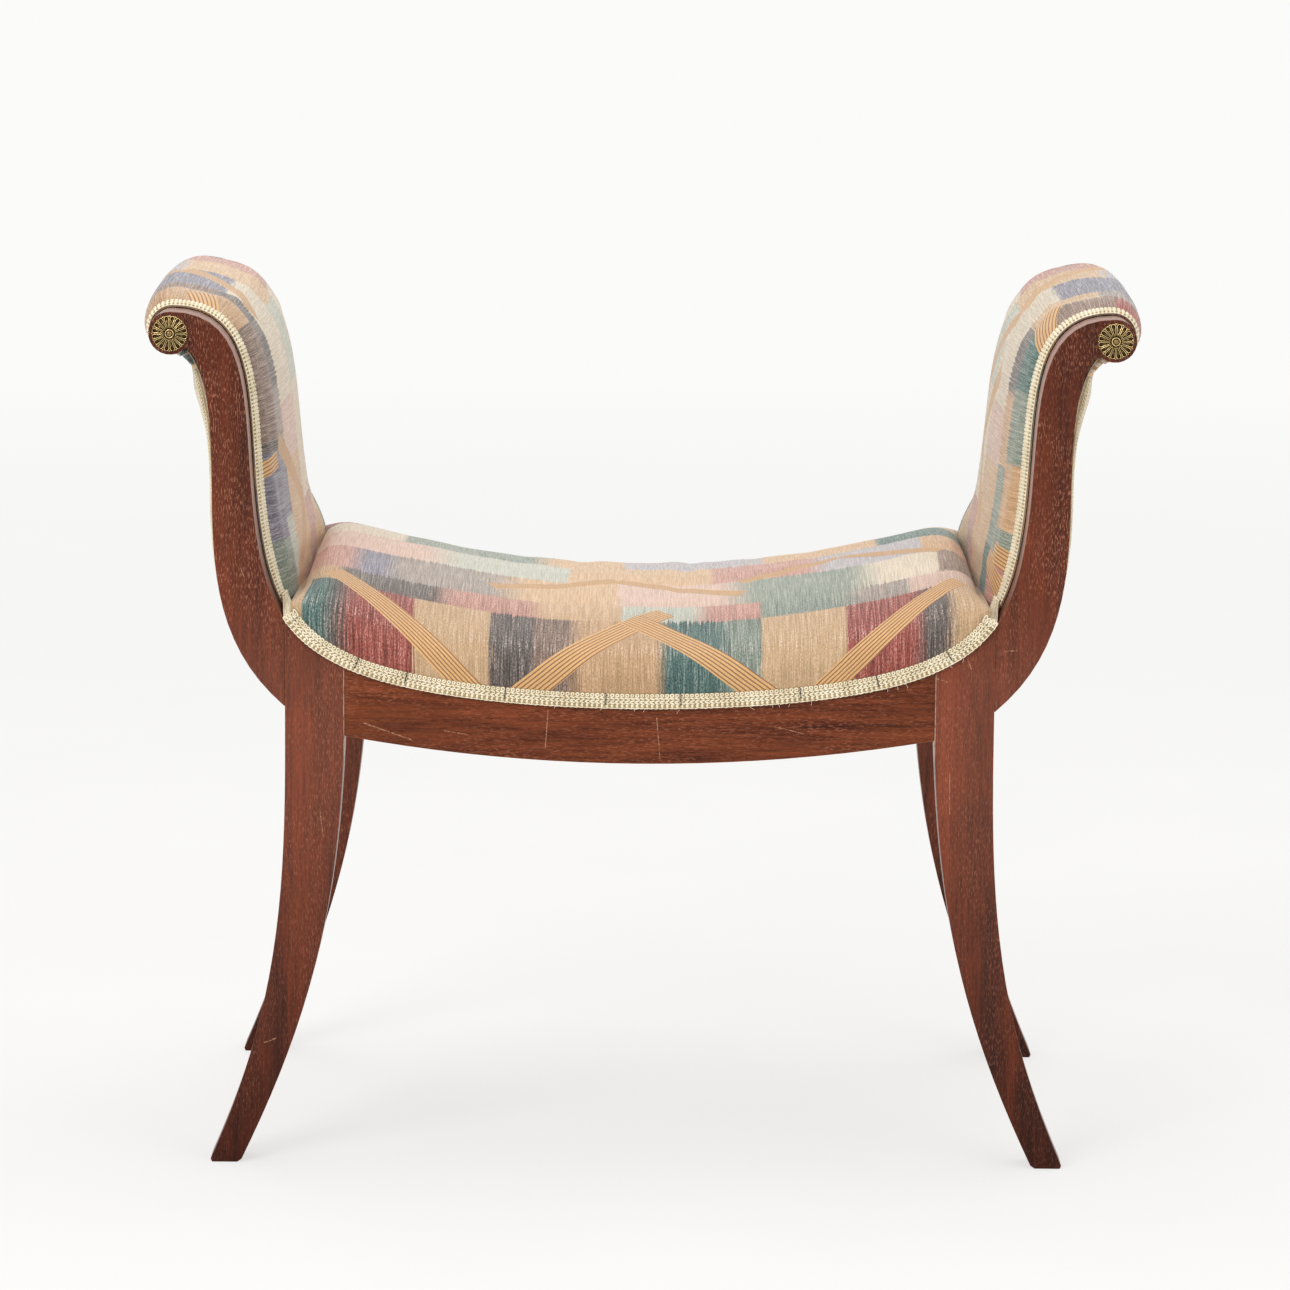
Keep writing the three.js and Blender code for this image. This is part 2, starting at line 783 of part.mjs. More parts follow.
function outsideCover() {
  const stations = [
    ...stationsOn(outsideLower, 0, 1, 9),
    ...stationsOn(outsideUpper, 0, 1, 8).slice(1),
  ];
  const grid = (lift) => stations.map(({ point, normal }) => [-padEdge, padEdge].map((y) => new THREE.Vector3(
    point.x - normal.x * lift,
    y,
    point.y - normal.y * lift,
  )));
  return closedGrids(grid(coverThickness), grid(0));
}

// A pressed brass rosette: a turned profile whose rings rise and fall with the petals.
// Each row has shares of the rosette's radius, outwards and forwards, and of the depth of the petals.
const bossRiseShare = 0.29;
const rosetteShares = [
  [0.1, 0, 0],
  [0.96, 0, 0],
  [1, 0.09, 1],
  [0.93, 0.17, 1],
  [0.66, 0.22, 0.8],
  [0.4, 0.12, 0.5],
  [0.31, 0.24, 0],
  [0.17, bossRiseShare, 0],
  [0.1, 0.26, 0],
  [0.1, 0, 0],
];

function rosette() {
  const profile = rosetteShares.map(([radiusShare, riseShare, petalShare]) => ({ radiusShare, riseShare, petalShare }));
  const points = profile.map(({ radiusShare, riseShare }) => spot(radiusShare, riseShare));
  const turned = new THREE.LatheGeometry(points, 2 * rosettePetals);
  const position = turned.getAttribute('position');
  for (let i = 0; i < position.count; i += 1) {
    const row = profile[i % profile.length];
    const spoke = Math.floor(i / profile.length);
    const petal = (spoke % 2 === 0 ? 1 : -1) * row.petalShare;
    const angle = (Math.PI * spoke) / rosettePetals;
    const radius = rosetteRadius * row.radiusShare + petal * petalDepth / 2;
    position.setXYZ(
      i,
      radius * Math.sin(angle),
      rosetteRadius * row.riseShare + petal * petalDepth / 2 * (row.riseShare > 0 ? 1 : 0),
      radius * Math.cos(angle),
    );
  }
  const facing = turned.scale(1, -1, 1);
  return facingOut(facing.translate(scrollCentre.x, -halfDepth - fit, scrollCentre.y));
}

// Its pin has a low domed head, given as shares of the radius of the head
const pinDomeShares = [[0, 0.5], [0.7, 0.4], [1, 0]];

function rosettePin() {
  const head = -rosetteRadius * bossRiseShare - 2 * fit;
  const profile = [
    ...pinDomeShares.map(([out, forward]) => spot(pinHeadRadius * out, head - pinHeadRadius * forward)),
    spot(pinRadius, head),
    spot(pinRadius, pinLength - pinRadius),
    spot(0, pinLength),
  ];
  const turned = new THREE.LatheGeometry(profile, 12);
  return facingOut(turned.translate(scrollCentre.x, -halfDepth, scrollCentre.y));
}

// Assembly: pieces of the four corners, of the two long sides and of the two arms

const corners = [
  ['sabre_leg', sabreLeg, mahogany],
  ['scroll_stile', scrollStile, mahogany],
  ['joint_dowel', jointDowel, beech],
  ['corner_block', cornerBlock(), beech],
  ['scroll_rosette', rosette(), brass],
  ['rosette_pin', rosettePin(), brass],
  ['arm_gimp', armGimp(), braid],
];
const longSides = [
  ['seat_rail', longRail(), mahogany],
  ['seat_gimp', seatGimp(), braid],
];
const arms = [
  ['side_rail', sideRail(), mahogany],
  ['scroll_rail', scrollRail(), beech],
  ['arm_tacking_rail', tackRail(), beech],
  ['arm_hessian', armHessian(), jute],
  ['arm_stuffing', armStuffing(), hair],
  ['arm_cover_inside', armCover(), fabric],
  ['arm_cover_outside', outsideCover(), fabric],
];

Object.entries(end).forEach(([endName, endSign]) => {
  longSides.forEach(([name, geometry, material]) => {
    add(`${name}_${endName}`, mirrored(geometry, 1, -endSign), material());
  });
  Object.entries(side).forEach(([sideName, sideSign]) => {
    corners.forEach(([name, geometry, material]) => {
      add(`${name}_${endName}_${sideName}`, mirrored(geometry, sideSign, -endSign), material());
    });
  });
});
Object.entries(side).forEach(([sideName, sideSign]) => {
  arms.forEach(([name, geometry, material]) => {
    add(`${name}_${sideName}`, mirrored(geometry, sideSign, 1), material());
  });
});
crossPlaces.forEach((_, i) => add(`cross_strap_${i + 1}`, crossStrap(i), jute()));
longPlaces.forEach((_, j) => add(`long_strap_${j + 1}`, longStrap(j), jute()));
add('seat_hessian', seatHessian(), jute());
add('seat_stuffing', seatStuffing(), hair());
add('seat_cover', seatCover(), fabric());

export default part;
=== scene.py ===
import math

import bpy
import numpy as np
from mathutils import Matrix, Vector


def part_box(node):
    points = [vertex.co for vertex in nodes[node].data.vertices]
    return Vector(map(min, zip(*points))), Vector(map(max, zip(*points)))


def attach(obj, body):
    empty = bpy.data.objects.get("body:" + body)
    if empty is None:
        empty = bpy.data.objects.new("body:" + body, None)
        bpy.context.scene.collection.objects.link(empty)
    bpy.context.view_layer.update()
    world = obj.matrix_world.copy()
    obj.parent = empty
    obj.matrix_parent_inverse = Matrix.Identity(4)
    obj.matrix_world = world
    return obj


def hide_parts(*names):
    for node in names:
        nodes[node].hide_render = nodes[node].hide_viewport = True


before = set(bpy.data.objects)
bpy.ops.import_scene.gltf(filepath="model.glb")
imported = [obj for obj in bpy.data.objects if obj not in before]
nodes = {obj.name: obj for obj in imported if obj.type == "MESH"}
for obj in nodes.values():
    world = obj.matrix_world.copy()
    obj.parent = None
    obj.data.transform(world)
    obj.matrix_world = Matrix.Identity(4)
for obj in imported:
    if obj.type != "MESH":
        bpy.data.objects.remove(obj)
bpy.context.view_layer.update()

MM = 0.001
SIDES = {"left": -1, "right": 1}
ENDS = {"front": -1, "rear": 1}
CORNERS = [(end, side) for end in ENDS for side in SIDES]


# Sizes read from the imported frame

def low(node, axis):
    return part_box(node)[0]["xyz".index(axis)]


def high(node, axis):
    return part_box(node)[1]["xyz".index(axis)]


HALF_DEPTH = high("sabre_leg_rear_right", "y")
RAIL_HALF = low("sabre_leg_front_right", "x")
LEG_OUTER = high("seat_gimp_front", "x")
SEAT_Z = low("seat_gimp_front", "z")
GIMP_FACE = -high("seat_gimp_front", "y")
SCROLL = np.mean(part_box("scroll_rosette_front_right"), axis=0)[[0, 2]]
ROSETTE_RADIUS = high("scroll_rosette_front_right", "x") - SCROLL[0]
ROSETTE_BACK = -high("scroll_rosette_front_right", "y")
PAD_EDGE = high("arm_cover_inside_right", "y")
COVER_EDGE = high("arm_cover_outside_right", "y")

# Sizes of the trimmings and the soft parts
GIMP_WIDTH = 13 * MM
GIMP_THICKNESS = 2 * MM
OUTSIDE_GIMP = 5 * MM
OUTSIDE_THICKNESS = 1.4 * MM
GIMP_PITCH = 4.1 * MM
ARM_PITCH = 3.1 * MM
OUTSIDE_PITCH = 3 * MM
TAIL_LENGTH = 17 * MM
TAIL_LAP = 3 * MM
TUCK_LENGTH = 17 * MM
COVER = 1.2 * MM
GAP = 0.3 * MM
SCROLL_RADIUS = 17.5 * MM
PAD_LOFT = 29 * MM
PAD_WRAP = math.radians(-112)
REAR_SWELL = 11 * MM
PUCKER_PITCH = 13.5 * MM
SHOULDER_STEP = 1.5 * MM
CORNER_REACH = 7 * MM
COVER_STANDOFF = 3.5 * MM
RIB_PITCH = 3.1 * MM
WEFT_PITCH = 1.3 * MM
# Place across the cloth and half width of a band of painted sheen on the seat's front face
PAINTED_SHEEN_BAND = 196 * MM
BAND_HALF = 9 * MM
SCREW_SIDES = 24
SCREW_RADIUS = 4 * MM
TICK = 0.2 * MM


# Lines in the plane of the frame, x to the right and z up

def unit(vectors):
    return vectors / np.linalg.norm(vectors, axis=-1, keepdims=True)


def xyz(x, y, z):
    return np.stack(np.broadcast_arrays(x, y, z), axis=-1)


def in_space(sign, flat, y):
    """Points of the frame's plane at depth y. A sign of -1 turns them over to the left."""
    return xyz(sign * flat[..., 0], y, flat[..., 1])


def bend(start, end, first, second, steps=80):
    """A curve whose two handles are given as shares of the way from start to end."""
    a, d = np.array(start), np.array(end)
    b, c = a + (d - a) * first, a + (d - a) * second
    t = np.linspace(0, 1, steps + 1)[:, None]
    return a * (1 - t) ** 3 + 3 * b * t * (1 - t) ** 2 + 3 * c * t * t * (1 - t) + d * t ** 3


def on_scroll(angle, radius):
    return SCROLL + radius * np.array([math.cos(angle), math.sin(angle)])


def offset(start, right, up):
    """A place so many mm to the right of start and above it."""
    return (start[0] + right * MM, start[1] + up * MM)


def lengths(grid, axis):
    """Length along a grid's lines, from the start of each."""
    steps = np.linalg.norm(np.diff(grid, axis=axis), axis=-1)
    start = np.zeros_like(np.take(steps, [0], axis=axis))
    return np.concatenate([start, np.cumsum(steps, axis=axis)], axis=axis)


def smooth(values, axis, passes):
    """Evens out a grid along one axis, its two ends kept."""
    grid = np.moveaxis(np.array(values, float), axis, 0)
    for _ in range(passes):
        grid[1:-1] = (grid[:-2] + 2 * grid[1:-1] + grid[2:]) / 4
    return np.moveaxis(grid, 0, axis)


def curve_through(table, share):
    """Reads a table of (share, value) rows as a smooth curve."""
    xs, ys = np.array(table, float).T
    fine = np.linspace(xs[0], xs[-1], 241)
    return np.interp(share, fine, smooth(np.interp(fine, xs, ys), 0, 60))


class Line:
    """A run of points that is read by the length along it."""

    def __init__(self, *runs):
        self.points = np.vstack([runs[0]] + [run[1:] for run in runs[1:]])
        self.marks = lengths(self.points, 0)
        self.length = self.marks[-1]

    def spot(self, s):
        return np.stack([np.interp(s, self.marks, self.points[:, k]) for k in (0, 1)], axis=-1)

    def way(self, s, step=1.5 * MM):
        return unit(self.spot(np.clip(s + step, 0, self.length)) - self.spot(np.clip(s - step, 0, self.length)))

    def beside(self, s, out):
        """Points at length s, off the line to its left by out."""
        way = self.way(s)
        left = np.stack([-way[..., 1], way[..., 0]], axis=-1)
        return self.spot(s) + left * np.asarray(out)[..., None]

    def mark_at_x(self, x):
        return np.interp(x, self.points[:, 0], self.marks)


seat_middle = (0, SEAT_Z)
rail_end = offset((RAIL_HALF, SEAT_Z), 0, 32.3)
arm_foot = offset((RAIL_HALF, SEAT_Z), 68.4, 123)
waist = offset((RAIL_HALF, SEAT_Z), 107.4, 172)
notch = offset((LEG_OUTER, SEAT_Z), 0, -0.5)
corner_curve = bend(rail_end, arm_foot, (0.6, 0.21), (0.86, 0.48))
arm_curve = bend(arm_foot, on_scroll(math.pi / 2, SCROLL_RADIUS), (0.26, 0.47), (-0.11, 1))
seat_line = Line(bend(seat_middle, rail_end, (0.17, 0), (0.73, 0.06)), corner_curve)
gimp_end = seat_line.mark_at_x(LEG_OUTER)


# Meshes

def put_in(thing, **values):
    """Sets attributes of a Blender object."""
    for key, value in values.items():
        setattr(thing, key, value)


class Shape:
    """The points and faces of one piece, gathered form by form."""

    def __init__(self):
        self.parts, self.faces, self.count = [], [], 0

    def add(self, points, faces):
        """The faces number their corners from the first of these points."""
        points = np.reshape(points, (-1, 3))
        self.parts.append(points)
        self.faces += [tuple(int(i) + self.count for i in face) for face in faces]
        self.count += len(points)

    def scatter(self, form, matrices, origins):
        """Copies of a small form, one for each matrix (its columns are the form's axes) and origin."""
        template, faces = form
        for copy in np.einsum("nij,kj->nki", matrices, template) + origins[:, None]:
            self.add(copy, faces)


def grid_faces(rows, columns):
    i, j = np.meshgrid(np.arange(rows - 1), np.arange(columns - 1), indexing="ij")
    a = (i * columns + j).ravel()
    return np.stack([a, a + columns, a + columns + 1, a + 1], axis=1)


def ring_faces(rings, sides, turn=1):
    """Faces round a body of rings of points, and over its two ends. A turn of -1 turns them over."""
    faces = []
    for a in range(0, (rings - 1) * sides, sides):
        for k in range(sides):
            follow = (k + 1) % sides
            faces.append((a + k, a + follow, a + sides + follow, a + sides + k)[::turn])
    last = (rings - 1) * sides
    return faces + [tuple(range(sides))[::-turn], tuple(range(last, last + sides))[::turn]]


def new_object(name, shape, replaced=(), uv=None):
    """A piece of the object that rides on its one body. uv has one pair for each vertex, in metres of cloth."""
    mesh = bpy.data.meshes.new(name)
    mesh.from_pydata(np.vstack(shape.parts).tolist(), [], shape.faces)
    mesh.validate()
    if uv is not None:
        layer = mesh.uv_layers.new(name="cloth")
        loops = np.zeros(len(mesh.loops), np.int32)
        mesh.loops.foreach_get("vertex_index", loops)
        layer.data.foreach_set("uv", np.asarray(uv, np.float32)[loops].ravel())
    mesh.polygons.foreach_set("use_smooth", [True] * len(mesh.polygons))
    piece = bpy.data.objects.new(name, mesh)
    bpy.context.scene.collection.objects.link(piece)
    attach(piece, "root")
    if replaced:
        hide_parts(*replaced)
    return piece


def turned_over(grids, columns_too):
    """The grids with their rows in reverse, and their columns where asked."""
    return [grid[::-1, ::-1] if columns_too else grid[::-1] for grid in grids]


def closed_cover(name, outer, inner, uv, replaced):
    """A closed shell: a fine outer grid, a coarser inner grid with the same rows, and the strips between them."""
    rows, columns = outer.shape[:2]
    inner_columns = inner.shape[1]
    first = rows * columns
    shape = Shape()
    shape.add(outer, grid_faces(rows, columns))
    shape.add(inner, grid_faces(rows, inner_columns)[:, ::-1])
    for i in range(rows - 1):
        a, b = i * columns, first + i * inner_columns
        shape.faces.append((a, b, b + inner_columns, a + columns))
        a, b = a + columns - 1, b + inner_columns - 1
        shape.faces.append((a, a + columns, b + inner_columns, b))
    for row, turn in ((0, 1), (rows - 1, -1)):
        loop = [row * columns + j for j in range(columns)]
        loop += [first + row * inner_columns + j for j in reversed(range(inner_columns))]
        shape.faces.append(tuple(loop[::turn]))
    cloth = np.vstack([uv.reshape(-1, 2), np.zeros((rows * inner_columns, 2))])
    return new_object(name, shape, replaced, cloth)


def positions(mesh):
    flat = np.zeros(len(mesh.vertices) * 3, np.float32)
    mesh.vertices.foreach_get("co", flat)
    return flat.reshape(-1, 3).astype(float)


def puff(piece, grid_size, end_rows, pressure, most, frames=16):
    """Lets a cover swell and settle as cloth. It is held at the borders of its outer grid, over end_rows times
    3 rows at each end, and no point moves farther than most."""
    rows, columns = grid_size
    i, j = np.meshgrid(np.arange(rows), np.arange(columns), indexing="ij")
    away = np.minimum(np.minimum(i, rows - 1 - i) / end_rows, np.minimum(j, columns - 1 - j) - 5)
    held = np.ones(len(piece.data.vertices))
    held[:rows * columns] = np.clip(1 - away / 3, 0, 1).ravel()
    group = piece.vertex_groups.new(name="held")
    for index, weight in enumerate(held):
        group.add([index], float(weight), "REPLACE")
    start = positions(piece.data)
    cloth = piece.modifiers.new("cloth", "CLOTH")
    put_in(cloth.settings, vertex_group_mass="held", quality=5, mass=0.3, tension_stiffness=12,
           compression_stiffness=12, shear_stiffness=4, bending_stiffness=0.4, use_pressure=True,
           uniform_pressure_force=pressure)
    cloth.settings.effector_weights.gravity = 0
    cloth.collision_settings.use_collision = False
    cloth.point_cache.frame_end = frames
    scene = bpy.context.scene
    for number in range(1, frames + 1):
        scene.frame_set(number)
    graph = bpy.context.evaluated_depsgraph_get()
    end = positions(piece.evaluated_get(graph).data)
    piece.modifiers.remove(cloth)
    scene.frame_set(1)
    step = end - start
    size = np.linalg.norm(step, axis=1, keepdims=True)
    step *= most * np.tanh(size / most) / np.maximum(size, 1e-9)
    piece.data.vertices.foreach_set("co", (start + step).astype(np.float32).ravel())
    piece.vertex_groups.clear()


def make_finer(piece):
    """Subdivides the piece's mesh once and leaves no modifier on it."""
    put_in(piece.modifiers.new("finer", "SUBSURF"), levels=1, render_levels=1, uv_smooth="NONE")
    graph = bpy.context.evaluated_depsgraph_get()
    mesh = bpy.data.meshes.new_from_object(piece.evaluated_get(graph))
    piece.modifiers.clear()
    piece.data = mesh
    mesh.name = piece.name
    mesh.polygons.foreach_set("use_smooth", [True] * len(mesh.polygons))


def dress(piece, *materials):
    piece.data.materials.clear()
    for material in materials:
        piece.data.materials.append(material)


# Materials

def linear(*channels):
    """A colour given as it looks on a screen, 0 to 255, as the linear colour that the shaders take."""
    shares = [channel / 255 for channel in channels]
    return tuple(c / 12.92 if c <= 0.04045 else ((c + 0.055) / 1.055) ** 2.4 for c in shares) + (1.0,)


class Value:
    """The output of a shader node. Sums with it make the nodes for them."""

    def __init__(self, tree, socket):
        self.tree, self.socket = tree, socket

    def __add__(self, other):
        return self.tree.math("ADD", self, other)

    def __sub__(self, other):
        return self.tree.math("SUBTRACT", self, other)

    def __mul__(self, other):
        return self.tree.math("MULTIPLY", self, other)

    def __abs__(self):
        return self.tree.math("ABSOLUTE", self)


class Nodes:
    """A short way of writing the nodes of a new material, or of the tree that is given."""

    def __init__(self, name="", tree=None):
        if tree is None:
            self.material = bpy.data.materials.new(name)
            self.material.use_nodes = True
            tree = self.material.node_tree
        self.tree = tree
        tree.nodes.clear()

    def node(self, kind, sockets=(), **settings):
        made = self.tree.nodes.new(kind)
        put_in(made, **settings)
        for key, value in dict(sockets).items():
            self.feed(made.inputs[key], value)
        return made

    def feed(self, socket, value):
        if isinstance(value, Value):
            self.tree.links.new(value.socket, socket)
        else:
            socket.default_value = value

    def get(self, kind, sockets=(), output=0, **settings):
        """One output of a new node."""
        return Value(self, self.node(kind, sockets, **settings).outputs[output])

    def split(self, vector):
        made = self.node("ShaderNodeSeparateXYZ", {0: vector})
        return [Value(self, socket) for socket in made.outputs]

    def math(self, operation, *values):
        return self.get("ShaderNodeMath", enumerate(values), operation=operation)

    def vector(self, operation, *values):
        output = "Value" if operation in ("DOT_PRODUCT", "LENGTH") else "Vector"
        return self.get("ShaderNodeVectorMath", enumerate(values), output, operation=operation)

    def join(self, x, y, z=0.0):
        return self.get("ShaderNodeCombineXYZ", enumerate((x, y, z)))

    def place(self):
        return self.get("ShaderNodeTexCoord", output="Object")

    def noise(self, vector, scale=1.0, detail=2.0, rough=0.5, twist=0.0, flat=False):
        sockets = {"Vector": vector, "Scale": scale, "Detail": detail, "Roughness": rough, "Distortion": twist}
        return self.get("ShaderNodeTexNoise", sockets, "Fac", noise_dimensions="2D" if flat else "3D")

    def fit(self, value, low_in, high_in, low_out=0.0, high_out=1.0):
        return self.get("ShaderNodeMapRange", enumerate((value, low_in, high_in, low_out, high_out)))

    def ramp(self, value, stops):
        made = self.node("ShaderNodeValToRGB", {0: value})
        elements = made.color_ramp.elements
        for _ in range(len(stops) - 2):
            elements.new(0.5)
        for element, (position, _) in zip(elements, stops):
            element.position = position
        for element, (_, color) in zip(elements, stops):
            element.color = color
        return Value(self, made.outputs[0])

    def mix(self, share, first, second, blend="MIX"):
        return self.get("ShaderNodeMix", {0: share, 6: first, 7: second}, 2, data_type="RGBA", blend_type=blend)

    def toned(self, colour, tone):
        return self.mix(1.0, colour, self.join(tone, tone, tone), "MULTIPLY")

    def patch(self, vector, at, angle, length, width):
        """1 in a turned rectangle and 0 outside it, and the place across the rectangle, from -1 to 1."""
        sockets = {"Vector": vector, "Location": (*at, 0), "Rotation": (0, 0, angle),
                   "Scale": (length / 2, width / 2, 1)}
        u, v, _ = self.split(self.get("ShaderNodeMapping", sockets, vector_type="TEXTURE"))
        return self.math("COMPARE", u, 0.0, 1.0) * self.math("COMPARE", v, 0.0, 1.0), v

    def bump(self, height, distance, strength=1.0):
        return self.get("ShaderNodeBump", {"Height": height, "Distance": distance, "Strength": strength})

    def plainly_seen(self):
        """1 for what the camera sees, also in a mirror or through glass."""
        rays = self.node("ShaderNodeLightPath").outputs
        camera, glossy, through = (Value(self, rays[f"Is {kind} Ray"]) for kind in ("Camera", "Glossy", "Transmission"))
        return self.math("MAXIMUM", camera, self.math("MAXIMUM", glossy, through))

    def surface(self, **values):
        """Principled shader and output; a key such as Base_Color stands for the socket Base Color."""
        shader = self.get("ShaderNodeBsdfPrincipled", {key.replace("_", " "): v for key, v in values.items()})
        self.node("ShaderNodeOutputMaterial", {"Surface": shader})
        return self.material


# Upholstery fabric: a patchwork of colour blocks, woven with streaks along the warp and ribbed straps of ochre

COLOURS = {name: linear(*channels) for name, channels in dict(
    tan=(221, 183, 140), sand=(214, 172, 128), ochre=(203, 152, 98), cream=(230, 214, 190),
    crimson=(171, 78, 64), rose=(205, 150, 134), pale_rose=(226, 192, 174), taupe=(148, 120, 103),
    slate=(104, 92, 86), grey=(168, 154, 144), teal=(80, 118, 112), green=(146, 158, 144),
    pale_teal=(202, 204, 188), lavender=(138, 135, 151), pale_lavender=(190, 185, 188),
).items()}


def block_row(n, a, start, blocks):
    """Colour blocks along the cloth. Each has its length in mm, its colour, and the width of its far border if soft."""
    blocks = [block.split() for block in blocks.split(",")]
    total = sum(float(block[0]) for block in blocks)
    stops, at, soft = [], 0.0, 0.0
    for length, name, *far in blocks:
        stops.append(((at + soft / 2) / total, COLOURS[name]))
        at += float(length)
        soft = float(far[0]) if far else 0.5
        stops.append(((at - soft / 2) / total, COLOURS[name]))
    return n.ramp(n.fit(a, start * MM, (start + total) * MM), stops)


def fabric_material(name, rows, straps, front=0.82, top=0.93):
    """rows go across the cloth: (far edge, start along it, blocks). straps: (a, b, degrees, length, width). Lengths
    are in mm. front and top are painted light and shade: how light the cloth is painted low on its face and over
    its top, for how the lamps fall on it."""
    n = Nodes(name)
    cloth = n.get("ShaderNodeUVMap", uv_map="cloth")
    a, b, _ = n.split(cloth)
    thread, streak, spark, cloud = (
        n.noise(n.vector("MULTIPLY", cloth, (*scale, 0)), detail=detail, rough=rough, flat=True)
        for scale, detail, rough in (((1150, 34), 2, 0.65), ((500, 11), 2, 0.6), ((980, 420), 2.5, 0.7), ((17, 14), 1, 0.5))
    )
    fray = (streak * 0.6 + thread * 0.4 - 0.5) * n.fit(cloud, 0.44, 0.60, 0.0008, 0.011)
    worn_a = fray * 2.2 + a
    worn_b = fray * 2.4 + b
    colour, edge = None, None
    for far, start, blocks in rows:
        shade = block_row(n, worn_a, start, blocks)
        if colour is None:
            colour = shade
        else:
            colour = n.mix(n.fit(worn_b, (edge - 1.2) * MM, (edge + 1.2) * MM), colour, shade)
        edge = far
    depth = n.fit(n.vector("DOT_PRODUCT", colour, (0.3, 0.59, 0.11)), 0.16, 0.50, 1.0, 0.42)
    tone = thread * 0.7 + (streak * 0.45 + spark * 0.85)
    # Painted light and shade: darker low on the face (front) and lighter over the top (top), on top of the threads'
    # random tone
    colour = n.toned(colour, n.fit(tone, 0.76, 1.24, -0.60, 0.42) * depth + n.fit(b, -0.16, -0.10, front, top))
    pale = n.fit(streak * 0.35 + thread * 0.65, 0.50, 0.64) * n.fit(spark, 0.44, 0.58)
    # Pale threads mixed in; in a band on the front face they are painted stronger, a painted sheen highlight
    painted_sheen = n.fit(abs(b + PAINTED_SHEEN_BAND), 0.0, BAND_HALF, 1.0, 0.0)
    colour = n.mix(pale * (painted_sheen * 0.4 + 0.36), colour, linear(234, 214, 202))
    mask, across = 0.0, 0.0
    for at, to, degrees, length, width in straps:
        inside, v = n.patch(cloth, (at * MM, to * MM), math.radians(degrees), length * MM, width * MM)
        mask = n.math("MAXIMUM", mask, inside)
        across = inside * (v * (width * MM / 2) - across) + across
    ribs = n.fit(n.math("SINE", across * (math.tau / RIB_PITCH)), -0.92, -0.1)
    # The ochre straps are painted dark brown in the grooves between their ribs: painted shade
    ochre = n.mix(ribs, linear(132, 88, 58), n.mix(spark, linear(206, 152, 92), linear(240, 196, 136)))
    colour = n.mix(mask * 0.94, colour, ochre)
    weft = n.math("SINE", thread * 6.0 + b * (math.tau / WEFT_PITCH))
    relief = n.bump(ribs * mask * 0.9 + (weft * 0.12 + (spark * 0.9 + thread * 0.8)), 0.45 * MM, 0.7)
    satin = n.fit(spark * 0.5 + thread * 0.5, 0.42, 0.6, 0.6, 0.34)
    return n.surface(Base_Color=colour, Roughness=satin, Normal=relief, Sheen_Weight=0.3, Sheen_Roughness=0.45,
                     Sheen_Tint=(1.0, 0.96, 0.9, 1.0), Specular_IOR_Level=0.45)


def chevrons(*peaks):
    """Straps in pairs that meet in a point: (a, b, half the opening in degrees, length, width), b the point's place."""
    straps = []
    for a, b, opening, length, width in peaks:
        lean = math.radians(opening)
        for side in (-1, 1):
            way = (side * math.sin(lean), -math.copysign(math.cos(lean), length))
            reach = abs(length) / 2
            degrees = math.degrees(math.atan2(way[1], way[0]))
            straps.append((a + way[0] * reach, b + way[1] * reach, degrees, abs(length), width))
    return straps


# The rows over the seat's top use paler colours: partly the cloth's own tints, partly painted light where the top is
# washed by light
seat_fabric = fabric_material("seat_fabric", [
    (-152, -300, "26 tan, 18 teal 10, 12 slate 12, 58 crimson, 62 tan, 36 slate, 34 taupe 14, 72 sand 10, 52 teal 12,"
                 "30 green, 70 tan, 62 crimson 12, 24 slate 10, 50 tan, 16 teal"),
    (-116, -310, "60 sand 10, 85 slate 20, 80 rose 20, 70 tan, 65 pale_teal 15, 50 rose, 75 green 20, 50 grey,"
                 "80 pale_rose"),
    (-40, -290, "50 rose 15, 30 lavender 15, 100 grey 30, 90 tan, 100 pale_rose 30, 110 green 30, 60 cream, 60 taupe"),
    (40, -300, "130 pale_rose 30, 110 pale_teal, 120 tan, 90 rose 20, 90 pale_lavender, 70 sand"),
    (125, -295, "90 cream, 120 green 20, 70 tan, 120 pale_lavender, 100 tan, 90 teal"),
    (300, -300, "60 crimson 10, 80 tan, 60 slate, 100 sand, 70 teal 12, 80 pale_rose, 90 taupe, 60 tan"),
], chevrons(
    (-118, -262, 47, -190, 22), (128, -262, 50, -180, 21), (-20, -30, 62, 120, 16), (170, 10, 58, 100, 15),
    (-90, 235, 40, 150, 20), (110, 235, 40, 150, 20),
), front=0.765, top=0.975)
arm_rows = [
    (-10, -5, "120 tan, 50 pale_rose, 90 cream, 90 lavender, 70 cream"),
    (70, 0, "70 rose, 100 cream, 60 pale_teal, 60 tan, 90 pale_lavender"),
    (128, -5, "90 tan, 60 grey, 90 cream, 70 rose, 70 tan"),
    (300, 0, "60 teal, 70 sand, 80 taupe, 60 crimson, 80 slate, 40 green"),
]
